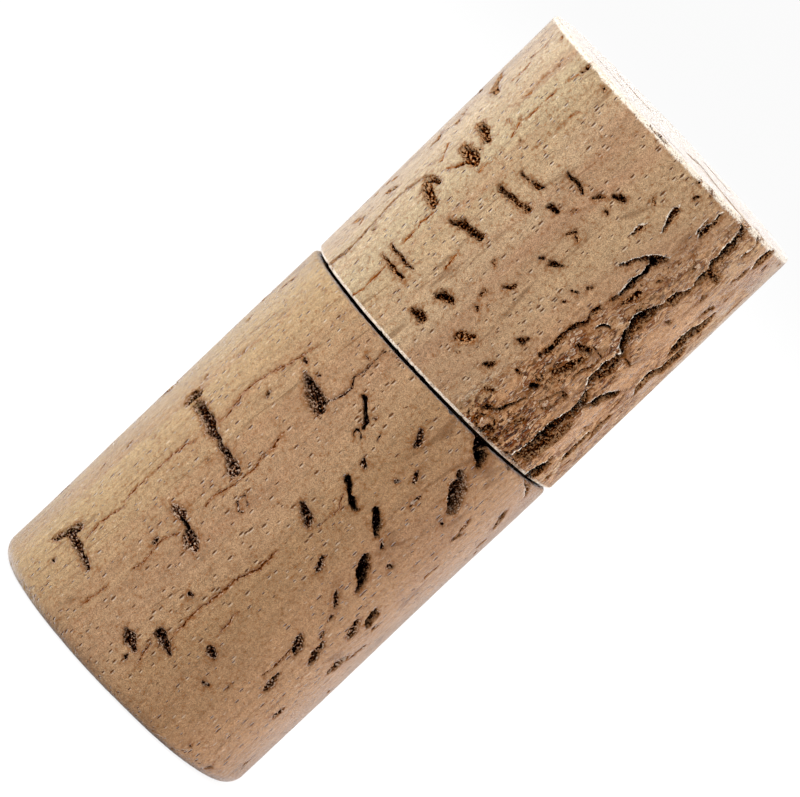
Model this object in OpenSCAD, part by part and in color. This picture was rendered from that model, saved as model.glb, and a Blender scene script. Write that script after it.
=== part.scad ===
// Natural cork stopper, cut into a lower and an upper length, standing on its end, in millimetres.
// The origin is the centre of the base and +Z runs along the cork's axis.
// The lower length carries a turned spigot, and the upper length is bored to sit on it.
// A bearing is an angle round the axis: 0 faces -Y and 90 faces +X.

/* [Cork stock] */
// Diameter of the punched cork
cork_d = 24; // [20:0.5:30]
// Length of the lower piece, from the base to its shoulder
body_h = 31.6; // [22:0.2:44]
// Length of the upper piece, from its lower edge to its top face
cap_h = 24; // [18:0.5:34]
// How much wider than the punched diameter the upper piece is at its lower edge
cap_swell_low = 0.1; // [0:0.05:0.3]
// How much wider than the punched diameter the upper piece is at its top
cap_swell_top = 0.3; // [0:0.05:0.6]

/* [Edges] */
// Radius of the worn edge round the base
base_edge_r = 1.3; // [0.3:0.1:2]
// Radius of the eased edges on both sides of the parting line
parting_edge_r = 0.3; // [0.1:0.05:0.6]
// Radius of the edge round the top face
top_edge_r = 0.35; // [0.1:0.05:1]

/* [Spigot and socket] */
// Diameter of the turned spigot
spigot_d = 12; // [8:0.5:16]
// Height of the spigot above the shoulder
spigot_h = 10; // [6:0.5:14]
// Chamfer at the spigot's end and at the socket's mouth
lead_in = 0.6; // [0.2:0.1:1.2]
// Radial clearance between the spigot and the socket
fit_clear = 0.05; // [0.02:0.01:0.1]
// Open gap left at the parting line when the socket rests on the spigot's end
parting_gap = 0.25; // [0.1:0.05:0.6]

/* [Cork marks] */
// Depth of the lenticels, the small dark pits that cross the grain
lenticel_depth = 1.2; // [0.5:0.1:1.6]
// Depth of the widest crack in the upper piece
crack_depth = 1.8; // [0.8:0.1:2.4]
// Half the width of the widest crack at the surface
crack_half_w = 0.6; // [0.2:0.05:0.8]
// Bearing that the cork's growth layers face, where lenticels are seen end on
layer_bearing = 50; // [0:5:90]

/* [Hidden] */
$fn = 96;

cork_r = cork_d / 2;
spigot_r = spigot_d / 2;
socket_r = spigot_r + fit_clear;
socket_depth = spigot_h - parting_gap;
cap_z = body_h + parting_gap;
cap_low_r = cork_r + cap_swell_low / 2;
cap_top_r = cork_r + cap_swell_top / 2;

// Height by which each cutter starts outside the surface that it cuts
cut_lift = 0.4;
// Width of a cutter at that height, as a share of the width that it cuts at the surface
lip_flare = 1.2;
// Sections along one lenticel, from end to end
lenticel_sections = 6;
// Share of the half turn that the first section of a lenticel leaves at each end
lenticel_end = 0.06;
// Depth of a long slit, as a share of the depth of a round pit
slit_depth_share = 0.7;

body_color = "#CDAF8A";
cap_color = "#D3B590";

// Lenticels in view on the lower piece: bearing, share of its length, length, width and tilt.
// The tilt is measured from level, and is positive where the right end is higher.
body_lenticels = [
    [-42, 0.58, 8.4, 0.8, -8],
    [-52, 0.17, 1.8, 0.9, 66],
    [-42, 0.165, 3.8, 0.8, -8],
    [-26, 0.40, 1.6, 0.5, -10],
    [-14, 0.375, 1.8, 1.1, -14],
    [-22, 0.805, 3.2, 1.2, -20],
    [-5, 0.86, 2.2, 0.5, -40],
    [6.5, 0.605, 1.9, 1.0, -40],
    [13, 0.71, 1.9, 0.5, -38],
    [26, 0.705, 2.1, 0.8, -40],
    [23, 0.55, 1.2, 0.7, -60],
    [37, 0.60, 2.8, 0.9, -50],
    [37.5, 0.51, 1.5, 0.6, -45],
    [40, 0.875, 2.8, 1.6, -50],
    [40.5, 0.38, 1.6, 0.8, -55],
    [49.5, 0.39, 1.9, 0.7, -70],
    [54, 0.485, 1.3, 0.8, -60],
    [57, 0.535, 1.5, 0.9, -60],
    [44.5, 0.27, 1.4, 0.7, -75],
    [64, 0.40, 1.5, 0.9, 80],
    [-3.5, 0.125, 1.5, 0.9, -20],
    [6, 0.175, 1.8, 0.8, -20],
    [19, 0.235, 0.9, 0.75, -20],
    [14.5, 0.91, 1.3, 0.7, -65],
    [24, 0.84, 0.9, 0.5, -50],
    [69, 0.89, 1.8, 0.6, -60]
];

// Lenticels in view on the upper piece, in the same terms
cap_lenticels = [
    [-52, 0.62, 1.9, 0.9, -20],
    [-50, 0.545, 2.4, 1.2, -4],
    [-50, 0.37, 2.4, 0.9, -16],
    [-27, 0.40, 3.0, 0.7, 10],
    [-23, 0.555, 2.7, 0.6, 4],
    [-24, 0.63, 2.4, 0.5, 8],
    [-12, 0.72, 2.1, 0.6, 2],
    [-72, 0.725, 1.8, 0.7, -30],
    [-38, 0.15, 3.4, 0.4, 0],
    [-38, 0.19, 3.4, 0.3, 0],
    [-15, 0.215, 1.1, 0.9, 20],
    [-16, 0.115, 1.1, 1.0, -20],
    [0, 0.175, 1.4, 0.8, 50],
    [12, 0.17, 0.9, 0.6, 0],
    [14, 0.285, 0.8, 0.7, 0],
    [-11, 0.62, 0.8, 0.6, 0],
    [-2, 0.745, 0.9, 0.6, 0],
    [3, 0.79, 0.9, 0.6, 0]
];

// Cracks in a wall: each point is a bearing, a share of the piece's length and a share of the
// widest crack. A share of the length outside 0 to 1 carries a crack out over the edge.
body_cracks = [
    [[28, 1.01, 0.5], [33, 0.985, 0.9], [37, 0.96, 0.7]],
    [[57, 1.015, 0.4], [64, 0.99, 0.5], [71, 0.965, 0.3]]
];

cap_cracks = [
    [[43, 1.03, 0.8], [44, 0.93, 0.7], [45, 0.84, 0.6], [44.5, 0.76, 0.45], [43.5, 0.67, 0.7],
     [40, 0.59, 0.7], [40, 0.54, 0.8], [42, 0.50, 0.5], [44, 0.44, 0.3], [43, 0.39, 0.45],
     [44, 0.35, 0.5], [46, 0.31, 0.35], [48.5, 0.27, 0.75], [49, 0.18, 1], [48, 0.13, 1.1],
     [47, 0.07, 0.9], [46, 0.03, 0.6], [42, -0.02, 0.5]],
    [[50, 0.265, 0.5], [53, 0.29, 0.35], [56, 0.32, 0.4], [59, 0.36, 0.3], [62, 0.385, 0.2]],
    [[18, 0.645, 0.2], [20.5, 0.68, 0.3], [22, 0.705, 0.3], [26, 0.725, 0.6], [29, 0.75, 0.45],
     [31, 0.78, 0.2]],
    [[27, 0.73, 0.5], [27, 0.68, 0.4], [27, 0.61, 0.35], [26.5, 0.58, 0.3], [25, 0.55, 0.2]],
    [[69, 0.765, 0.2], [67, 0.72, 0.4], [65, 0.685, 0.5], [64, 0.64, 0.5], [64, 0.605, 0.45],
     [65, 0.56, 0.35]],
    [[68, 0.60, 0.35], [71, 0.555, 0.5], [70, 0.505, 0.5], [67, 0.475, 0.4], [67, 0.435, 0.5],
     [70, 0.385, 0.3]],
    [[69, 0.30, 0.3], [68, 0.25, 0.4], [66, 0.215, 0.3], [65, 0.17, 0.4], [67, 0.10, 0.25]],
    [[63, 0.115, 0.35], [60, 0.065, 0.6], [57, -0.02, 0.5]],
    [[24, 0.325, 0.3], [23, 0.365, 0.35], [24, 0.40, 0.4], [26, 0.45, 0.4], [30, 0.475, 0.35],
     [34, 0.49, 0.3], [39, 0.50, 0.2]],
    [[18.5, 0.89, 0.5], [19, 0.84, 0.4], [21, 0.80, 0.2]],
    [[32, 0.98, 0.3], [33, 0.935, 0.4], [31, 0.89, 0.4], [31, 0.86, 0.25]],
    [[-60, -0.02, 0.3], [-59, 0.07, 0.3], [-59, 0.145, 0.25], [-61, 0.255, 0.2],
     [-61, 0.305, 0.2], [-58, 0.40, 0.2]]
];

// Crack across the top face: each point is X, Y, both as shares of the radius, and a share of
// the widest crack
top_crack = [[0.70, -0.78, 0.8], [0.57, -0.57, 0.6], [0.43, -0.37, 0.5], [0.37, -0.30, 0.5],
             [0.28, -0.08, 0.4], [0.19, 0.13, 0.3]];

// Lenticels out of view go round the back by the golden section, which never lines them up
golden = 0.618;
back_start = 95;
back_turn = 180;
back_step = 0.755;
body_back_count = 14;
cap_back_count = 10;
back_long = 2.2;
back_narrow = 0.9;

// Fractional part of a number
function fraction(x) = x - floor(x);

// Outward direction at a bearing
function outward(bearing) = [sin(bearing), -cos(bearing), 0];

// Point on a wall of radius r
function on_wall(r, bearing, z) = r * outward(bearing) + [0, 0, z];

// Radius of the upper piece at a share of its length
function cap_r_at(share) = cap_low_r + (cap_top_r - cap_low_r) * share;

// A vector brought to length 1
function unit(v) = v / norm(v);

// Direction along a path at point i, from its neighbours
function along(points, i) =
    unit(points[min(i + 1, len(points) - 1)] - points[max(i - 1, 0)]);

// One section of a groove: a rounded V whose lips stand clear of the surface
function groove_section(p, n, across, half_w, depth) = [
    p + lip_flare * half_w * across + cut_lift * n,
    p + 0.7 * half_w * across - 0.6 * depth * n,
    p + 0.1 * half_w * across - depth * n,
    p - 0.6 * half_w * across - 0.7 * depth * n,
    p - lip_flare * half_w * across + cut_lift * n
];

// Faces of a tube of sections with m points each, closed at both ends
function tube_faces(sections, m) = concat(
    [for (i = [0 : sections - 2], j = [0 : m - 1])
        [i * m + j, i * m + (j + 1) % m, (i + 1) * m + j]],
    [for (i = [0 : sections - 2], j = [0 : m - 1])
        [i * m + (j + 1) % m, (i + 1) * m + (j + 1) % m, (i + 1) * m + j]],
    [for (j = [1 : m - 2]) [0, j + 1, j]],
    [for (j = [1 : m - 2])
        [(sections - 1) * m, (sections - 1) * m + j, (sections - 1) * m + j + 1]]
);

// Groove swept through points, each with its outward normal, half width and depth
module groove(points, normals, half_ws, depths) {
    sections = [for (i = [0 : len(points) - 1])
        groove_section(points[i], normals[i],
            unit(cross(normals[i], along(points, i))), half_ws[i], depths[i])];
    polyhedron(
        points = [for (s = sections) each s],
        faces = tube_faces(len(sections), len(sections[0])));
}

// Lenticel: a short spindle-shaped groove sunk in a wall of radius r at height z
module lenticel(r, bearing, z, length, width, tilt) {
    turns = [for (i = [0 : lenticel_sections - 1])
        lenticel_end + (1 - 2 * lenticel_end) * i / (lenticel_sections - 1)];
    reach = [for (t = turns) (t - 0.5) * length];
    bearings = [for (u = reach) bearing + u * cos(tilt) / r * 180 / PI];
    swell = [for (t = turns) sin(180 * t)];
    depth = min(lenticel_depth, width) * (length > 3 * width ? slit_depth_share : 1);
    groove(
        [for (i = [0 : len(turns) - 1]) on_wall(r, bearings[i], z + reach[i] * sin(tilt))],
        [for (b = bearings) outward(b)],
        [for (s = swell) s * width / 2],
        [for (s = swell) s * depth]);
}

// Crack down the wall of a piece that starts at z0, with its radius at both ends
module wall_crack(path, z0, height, low_r, top_r) {
    groove(
        [for (p = path) on_wall(low_r + (top_r - low_r) * p[1], p[0], z0 + p[1] * height)],
        [for (p = path) outward(p[0])],
        [for (p = path) p[2] * crack_half_w],
        [for (p = path) p[2] * crack_depth]);
}

// Crack in the top face, running in from the edge
module face_crack(path) {
    groove(
        [for (p = path) [p[0] * cap_top_r, p[1] * cap_top_r, cap_z + cap_h]],
        [for (p = path) [0, 0, 1]],
        [for (p = path) p[2] * crack_half_w],
        [for (p = path) p[2] * crack_depth]);
}

// Lenticels round the back of a piece that starts at z0: round pits where the growth layers
// face outwards, and long slits where they are seen edge on
module back_lenticels(count, z0, height, r) {
    for (i = [1 : count]) {
        bearing = back_start + back_turn * fraction(i * golden);
        share = 0.08 + 0.84 * fraction(i * back_step);
        edge_on = abs(sin(bearing - layer_bearing));
        lenticel(r, bearing, z0 + share * height,
            back_narrow + back_long * edge_on, back_narrow, 20 * sin(97 * i));
    }
}

// Outline of a turned blank from the axis outwards, with an eased edge at each end
module blank(h, low_r, top_r, low_edge, top_edge) {
    rotate_extrude() {
        polygon(concat(
            [[0, 0]],
            [for (a = [270 : 15 : 345])
                [low_r - low_edge + low_edge * cos(a), low_edge + low_edge * sin(a)]],
            [[low_r, low_edge], [top_r, h - top_edge]],
            [for (a = [15 : 15 : 90])
                [top_r - top_edge + top_edge * cos(a), h - top_edge + top_edge * sin(a)]],
            [[0, h]]));
    }
}

// Turned spigot with a chamfered end, rooted in the shoulder
module spigot() {
    root = parting_edge_r;
    translate([0, 0, body_h - root])
        cylinder(r = spigot_r, h = spigot_h - lead_in + root);
    translate([0, 0, body_h + spigot_h - lead_in])
        cylinder(r1 = spigot_r, r2 = spigot_r - lead_in, h = lead_in);
}

// Socket bored up into the upper piece, with a chamfered mouth
module socket() {
    translate([0, 0, cap_z - cut_lift])
        cylinder(r = socket_r, h = socket_depth + cut_lift);
    translate([0, 0, cap_z - cut_lift])
        cylinder(r1 = socket_r + lead_in + cut_lift, r2 = socket_r, h = lead_in + cut_lift);
}

// Lower length of cork with its spigot
module cork_body() {
    color(body_color) {
        difference() {
            blank(body_h, cork_r, cork_r, base_edge_r, parting_edge_r);
            for (m = body_lenticels)
                lenticel(cork_r, m[0], m[1] * body_h, m[2], m[3], m[4]);
            for (path = body_cracks) wall_crack(path, 0, body_h, cork_r, cork_r);
            back_lenticels(body_back_count, 0, body_h, cork_r);
        }
        spigot();
    }
}

// Upper length of cork, bored to sit on the spigot
module cork_cap() {
    color(cap_color)
        difference() {
            translate([0, 0, cap_z])
                blank(cap_h, cap_low_r, cap_top_r, parting_edge_r, top_edge_r);
            socket();
            for (m = cap_lenticels)
                lenticel(cap_r_at(m[1]), m[0], cap_z + m[1] * cap_h, m[2], m[3], m[4]);
            for (path = cap_cracks) wall_crack(path, cap_z, cap_h, cap_low_r, cap_top_r);
            face_crack(top_crack);
            back_lenticels(cap_back_count, cap_z, cap_h, cap_r_at(0.5));
        }
}

cork_body();
cork_cap();
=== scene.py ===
"""Dresses a two-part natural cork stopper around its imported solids.

Sizes in the classes are in millimetres and bearings in degrees round the cork's axis: bearing 0 faces
-Y and bearing 90 faces +X. Heights are above the base. Meshes are turned into metres as they are made.
"""

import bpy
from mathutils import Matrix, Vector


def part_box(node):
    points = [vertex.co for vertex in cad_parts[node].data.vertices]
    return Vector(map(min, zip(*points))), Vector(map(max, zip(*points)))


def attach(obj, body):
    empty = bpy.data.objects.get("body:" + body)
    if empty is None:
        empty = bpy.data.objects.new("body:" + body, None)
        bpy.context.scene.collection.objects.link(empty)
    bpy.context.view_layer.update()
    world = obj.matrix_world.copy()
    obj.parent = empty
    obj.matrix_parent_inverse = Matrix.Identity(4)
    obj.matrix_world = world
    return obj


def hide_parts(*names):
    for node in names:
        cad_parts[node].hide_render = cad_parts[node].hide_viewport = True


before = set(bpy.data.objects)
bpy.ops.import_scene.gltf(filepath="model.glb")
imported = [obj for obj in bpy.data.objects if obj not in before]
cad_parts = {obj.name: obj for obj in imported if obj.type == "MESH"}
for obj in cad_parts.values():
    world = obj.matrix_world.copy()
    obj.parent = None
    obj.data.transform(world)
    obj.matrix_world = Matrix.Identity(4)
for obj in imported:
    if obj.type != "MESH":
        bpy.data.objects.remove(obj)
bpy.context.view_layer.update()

import itertools
import logging
import math
from dataclasses import dataclass
from enum import Enum
from functools import partial

import bpy
import numpy as np
from mathutils import Matrix, Vector

LOG = logging.getLogger("cork")
MM = 0.001
COARSER = 1

# Bearing that the growth layers face: lenticels run this way through the cork
LAYER_BEARING = 50.0
# How far the grain leans from the axis, as a slope
GRAIN_LEAN = 0.10
# Radius at which lengths along a mark are turned into bearings
WALL = 12.0
# Bearing, height and width at points along a mark
Path = tuple[tuple[float, float, float], ...]


class Fill(Enum):
    """What an opening in the cork holds, and how much of the light it gives back."""

    OPEN = 0.0
    DUST = 0.72
    BROWN = 1.0
    LINE = 1.2


@dataclass(frozen=True)
class Mark:
    """A lenticel, crack or chip that opens in the surface.

    Attributes:
        path: where it runs and how wide it is.
        depth: how far it goes in.
        fill: what it holds.
        fringe: how far the brown edge round it reaches.
        ragged: how far its edge wanders, as a share of the piece's full raggedness.
        slope: how much shallower its right side is, as a share of its depth.
    """

    path: Path
    depth: float
    fill: Fill = Fill.DUST
    fringe: float = 0.18
    ragged: float = 1.0
    slope: float = 0.0


def leaning(bearing: float, height: float, along: float, across: float, tilt: float) -> tuple[float, float]:
    """Finds a place on a lenticel that leans.

    Args:
        bearing: where the lenticel's middle lies round the cork.
        height: where its middle lies above the base.
        along: how far along it the place lies from its middle.
        across: how far to its side the place lies.
        tilt: its angle from level, positive where the right end is higher.

    Returns:
        The place's bearing and height.
    """
    lean = math.radians(tilt)
    level = along * math.cos(lean) - across * math.sin(lean)
    rise = along * math.sin(lean) + across * math.cos(lean)
    return bearing + math.degrees(level / WALL), height + rise


def pit(bearing: float, height: float, length: float, width: float, tilt: float,
        fill: Fill = Fill.DUST) -> Mark:
    """Makes a spindle-shaped lenticel.

    Args:
        bearing: where its middle lies round the cork.
        height: where its middle lies above the base.
        length: its size from end to end.
        width: its size across the middle.
        tilt: its angle from level, positive where the right end is higher.
        fill: what it holds.

    Returns:
        The lenticel as a mark.
    """
    path = tuple((*leaning(bearing, height, share * length, 0.0, tilt), width * (1.05 - 2.2 * share * share))
                 for share in (-0.5, -0.25, 0.0, 0.25, 0.5))
    depth = {Fill.OPEN: 0.9, Fill.DUST: 0.55, Fill.BROWN: 0.35}[fill]
    return Mark(path, depth=depth * min(width, 1.0), fill=fill, ragged=1.3)


def ring(bearing: float, height: float, length: float, width: float, tilt: float,
         fill: Fill = Fill.BROWN) -> Mark:
    """Makes the outline of a lenticel whose middle has closed up again.

    Args:
        bearing: where its middle lies round the cork.
        height: where its middle lies above the base.
        length: its size from end to end.
        width: its size across the middle.
        tilt: its angle from level, positive where the right end is higher.
        fill: what the outline holds.

    Returns:
        The outline as a mark.
    """
    turns = [math.pi * step / 4 for step in range(9)]
    path = tuple((*leaning(bearing, height, length / 2 * math.cos(turn), width / 2 * math.sin(turn), tilt),
                  0.14 + 0.06 * math.sin(3 * turn)) for turn in turns)
    return Mark(path, depth=0.2, fill=fill, fringe=0.1)


def crack(path: Path, depth: float, fill: Fill = Fill.OPEN) -> Mark:
    """A crack whose right side slopes, with a brown edge on that side, a painted highlight along its left
    edge and painted shadow in its core on the left.
    """
    return Mark(path, depth, fill, ragged=1.1, slope=0.5)


def stain(path: Path, depth: float) -> Mark:
    """A shallow brown place with a narrow edge."""
    return Mark(path, depth, Fill.BROWN, fringe=0.12)


def slit(path: Path, depth: float, fill: Fill = Fill.OPEN) -> Mark:
    """A thin split with an even edge."""
    return Mark(path, depth, fill, fringe=0.1, ragged=0.6)


def growth_line(*places: tuple[float, float], width: float = 0.17) -> Mark:
    """Makes the thin brown edge of a year's growth where it reaches the surface.

    Args:
        places: bearing and height at points along it.
        width: its size across.

    Returns:
        The line as a mark.
    """
    path = tuple((*place, width * (0.8 + 0.5 * (i % 2))) for i, place in enumerate(places))
    return Mark(path, depth=0.08, fill=Fill.LINE, fringe=0.07, ragged=0.9)


BODY_MARKS = (
    growth_line((-34, 27.8), (-37, 25.5), (-40, 23.9), (-42, 21.7), (-40, 20.4), (-39, 19.1)),
    growth_line((-41, 16.6), (-43, 16.0), (-44, 12.0), (-44, 11.0), (-42, 9.5), (-44, 7.8), (-43, 6.2)),
    growth_line((-19, 22.0), (-18, 20.7), (-18, 19.6), (-17, 18.5), (-18, 17.1), (-19, 15.9), (-20, 15.1),
                (-19, 14.3)),
    growth_line((10, 22.3), (13, 21.0), (13, 20.0), (12, 18.8), width=0.16),
    growth_line((-19, 11.5), (-21, 10.6), (-21, 9.4), (-20, 8.7), (-20, 8.0), (-21, 7.5)),
    growth_line((9, 16.0), (9, 14.2), (6, 12.2), (6, 11.2), (5, 9.3), (5, 8.3), (5, 6.6), width=0.24),
    growth_line((2, 4.8), (3, 3.9), (4, 2.9)),
    growth_line((-23, 5.2), (-24, 3.5), (-25, 2.9)),
    growth_line((54, 26.9), (56, 25.2), width=0.18),
    growth_line((61, 23.1), (61, 21.5)),
    growth_line((39, 12.4), (40, 9.5), (39, 8.6)),
    growth_line((15, 10.9), (16, 9.0)),
    Mark(((-58.5, 17.8, 0.6), (-59.5, 18.4, 1.2), (-58, 18.9, 0.7)), 0.6),
    Mark(((-54, 18.4, 0.9), (-48, 18.4, 0.85), (-43, 18.4, 0.95), (-40, 18.1, 1.0), (-36.5, 18.1, 0.5),
         (-34, 18.1, 0.3), (-31, 17.9, 0.5), (-27.5, 17.9, 0.7)), 0.7),
    Mark(((-27.5, 17.9, 0.7), (-24, 17.7, 1.0), (-22, 17.5, 1.2)), 0.5, Fill.BROWN),
    Mark(((-54, 4.4, 0.6), (-50, 6.1, 0.9)), 0.5),
    Mark(((-51, 5.5, 0.8), (-43, 5.3, 0.75), (-38, 5.2, 0.6), (-33, 5.0, 0.45)), 0.6),
    Mark(((-26, 12.5, 0.8), (-23.5, 12.6, 0.95)), 0.35, Fill.BROWN, 0.3),
    Mark(((-23, 12.4, 0.45), (-21, 12.4, 0.4), (-18.5, 12.4, 0.45)), 0.7, Fill.OPEN),
    Mark(((-17.5, 12.2, 0.65), (-15, 12.0, 1.1), (-13, 11.8, 1.1), (-11, 11.7, 0.65)), 0.5, Fill.BROWN),
    Mark(((-29, 25.8, 0.35), (-25.5, 25.6, 0.85), (-22, 25.4, 1.35), (-19, 25.2, 1.5), (-16.5, 24.9, 0.95)),
         0.8),
    Mark(((-21, 25.2, 0.5), (-18, 25.1, 0.6)), 1.0, Fill.OPEN),
    slit(((-15, 31.2, 0.12), (-15, 29.1, 0.14), (-16, 28.3, 0.16), (-14, 27.7, 0.2), (-14, 26.9, 0.2),
         (-16, 25.9, 0.14), (-18, 25.4, 0.1)), 0.2, Fill.BROWN),
    Mark(((-9, 27.9, 0.4), (-6, 27.5, 0.3), (-3, 26.9, 0.45), (-1, 26.4, 0.35)), 0.7, Fill.OPEN),
    Mark(((8, 23.0, 0.6), (9.5, 22.7, 0.4), (12.5, 22.4, 0.35), (15, 22.1, 0.6), (17, 21.9, 0.45)), 0.8,
         Fill.OPEN),
    Mark(((35, 29.0, 0.6), (38, 28.1, 1.3), (41, 27.4, 1.3), (44, 26.6, 0.8)), 1.2, Fill.DUST, 0.3, 1.5),
    Mark(((38, 28.3, 0.6), (40.5, 27.6, 0.7), (42, 27.0, 0.4)), 1.3, Fill.OPEN, 0.1, 2.0),
    Mark(((28, 31.9, 0.6), (33, 31.2, 1.1), (37, 30.4, 0.9)), 1.2, Fill.OPEN, 0.4, 1.5),
    crack(((58.8, 31.7, 0.25), (64.8, 31.4, 0.41), (69.6, 30.6, 0.19)), 0.7, Fill.DUST),
    Mark(((2, 5.8, 0.9), (6, 5.5, 0.6), (10, 5.2, 0.25)), 0.6),
    ring(-11, 16.4, 1.3, 0.75, -60),
    pit(-3.5, 3.9, 1.5, 0.9, -20),
    pit(19, 7.4, 0.9, 0.75, -20),
    pit(-33, 26.4, 0.6, 0.35, 0),
    ring(-1, 25.7, 0.9, 0.6, -30, Fill.OPEN),
    pit(14.5, 28.7, 1.3, 0.65, -65),
    pit(8, 24.6, 0.8, 0.4, -50),
    pit(24, 26.5, 0.9, 0.45, -50, Fill.BROWN),
    pit(30, 25.4, 1.3, 0.35, 90, Fill.BROWN),
    Mark(((3.5, 19.5, 0.45), (5.5, 19.3, 0.9), (8.5, 19.0, 0.85), (10, 18.7, 0.5)), 0.6),
    pit(26, 22.3, 2.1, 0.75, -40, Fill.OPEN),
    pit(45, 25.3, 0.5, 0.3, 0),
    pit(56, 25.3, 0.8, 0.45, 60),
    pit(34, 21.4, 0.6, 0.35, -40),
    pit(43, 20.6, 0.5, 0.45, 0),
    pit(69, 28.1, 1.8, 0.6, -60),
    pit(74.5, 26.0, 1.2, 0.3, 85),
    pit(23, 17.3, 1.2, 0.65, -60),
    pit(37, 18.9, 2.8, 0.9, -50, Fill.OPEN),
    pit(37.5, 16.2, 1.5, 0.5, -45),
    pit(41.5, 15.0, 0.8, 0.25, -60),
    pit(45, 13.6, 0.8, 0.25, -60),
    pit(57, 16.8, 1.5, 0.85, -60, Fill.OPEN),
    pit(54, 15.4, 1.3, 0.75, -60, Fill.BROWN),
    pit(64, 12.6, 1.5, 0.9, 80, Fill.BROWN),
    pit(40.5, 12.0, 1.6, 0.8, -55),
    pit(49.5, 12.4, 1.9, 0.65, -70),
    pit(44.5, 8.6, 1.4, 0.65, -75),
    pit(59.5, 7.2, 0.9, 0.5, 80, Fill.BROWN),
    pit(26, 5.5, 0.6, 0.45, 0),
    pit(33, 6.5, 0.5, 0.2, -60),
    pit(55, 0.9, 0.6, 0.3, 60),
    pit(68, 14.2, 1.9, 0.3, 75),
    pit(-74, 28.8, 1.3, 0.3, 60, Fill.BROWN),
    pit(-85, 16.9, 1.6, 0.8, 60, Fill.OPEN),
    pit(-86, 6.2, 1.4, 0.7, 60, Fill.OPEN),
)

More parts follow.
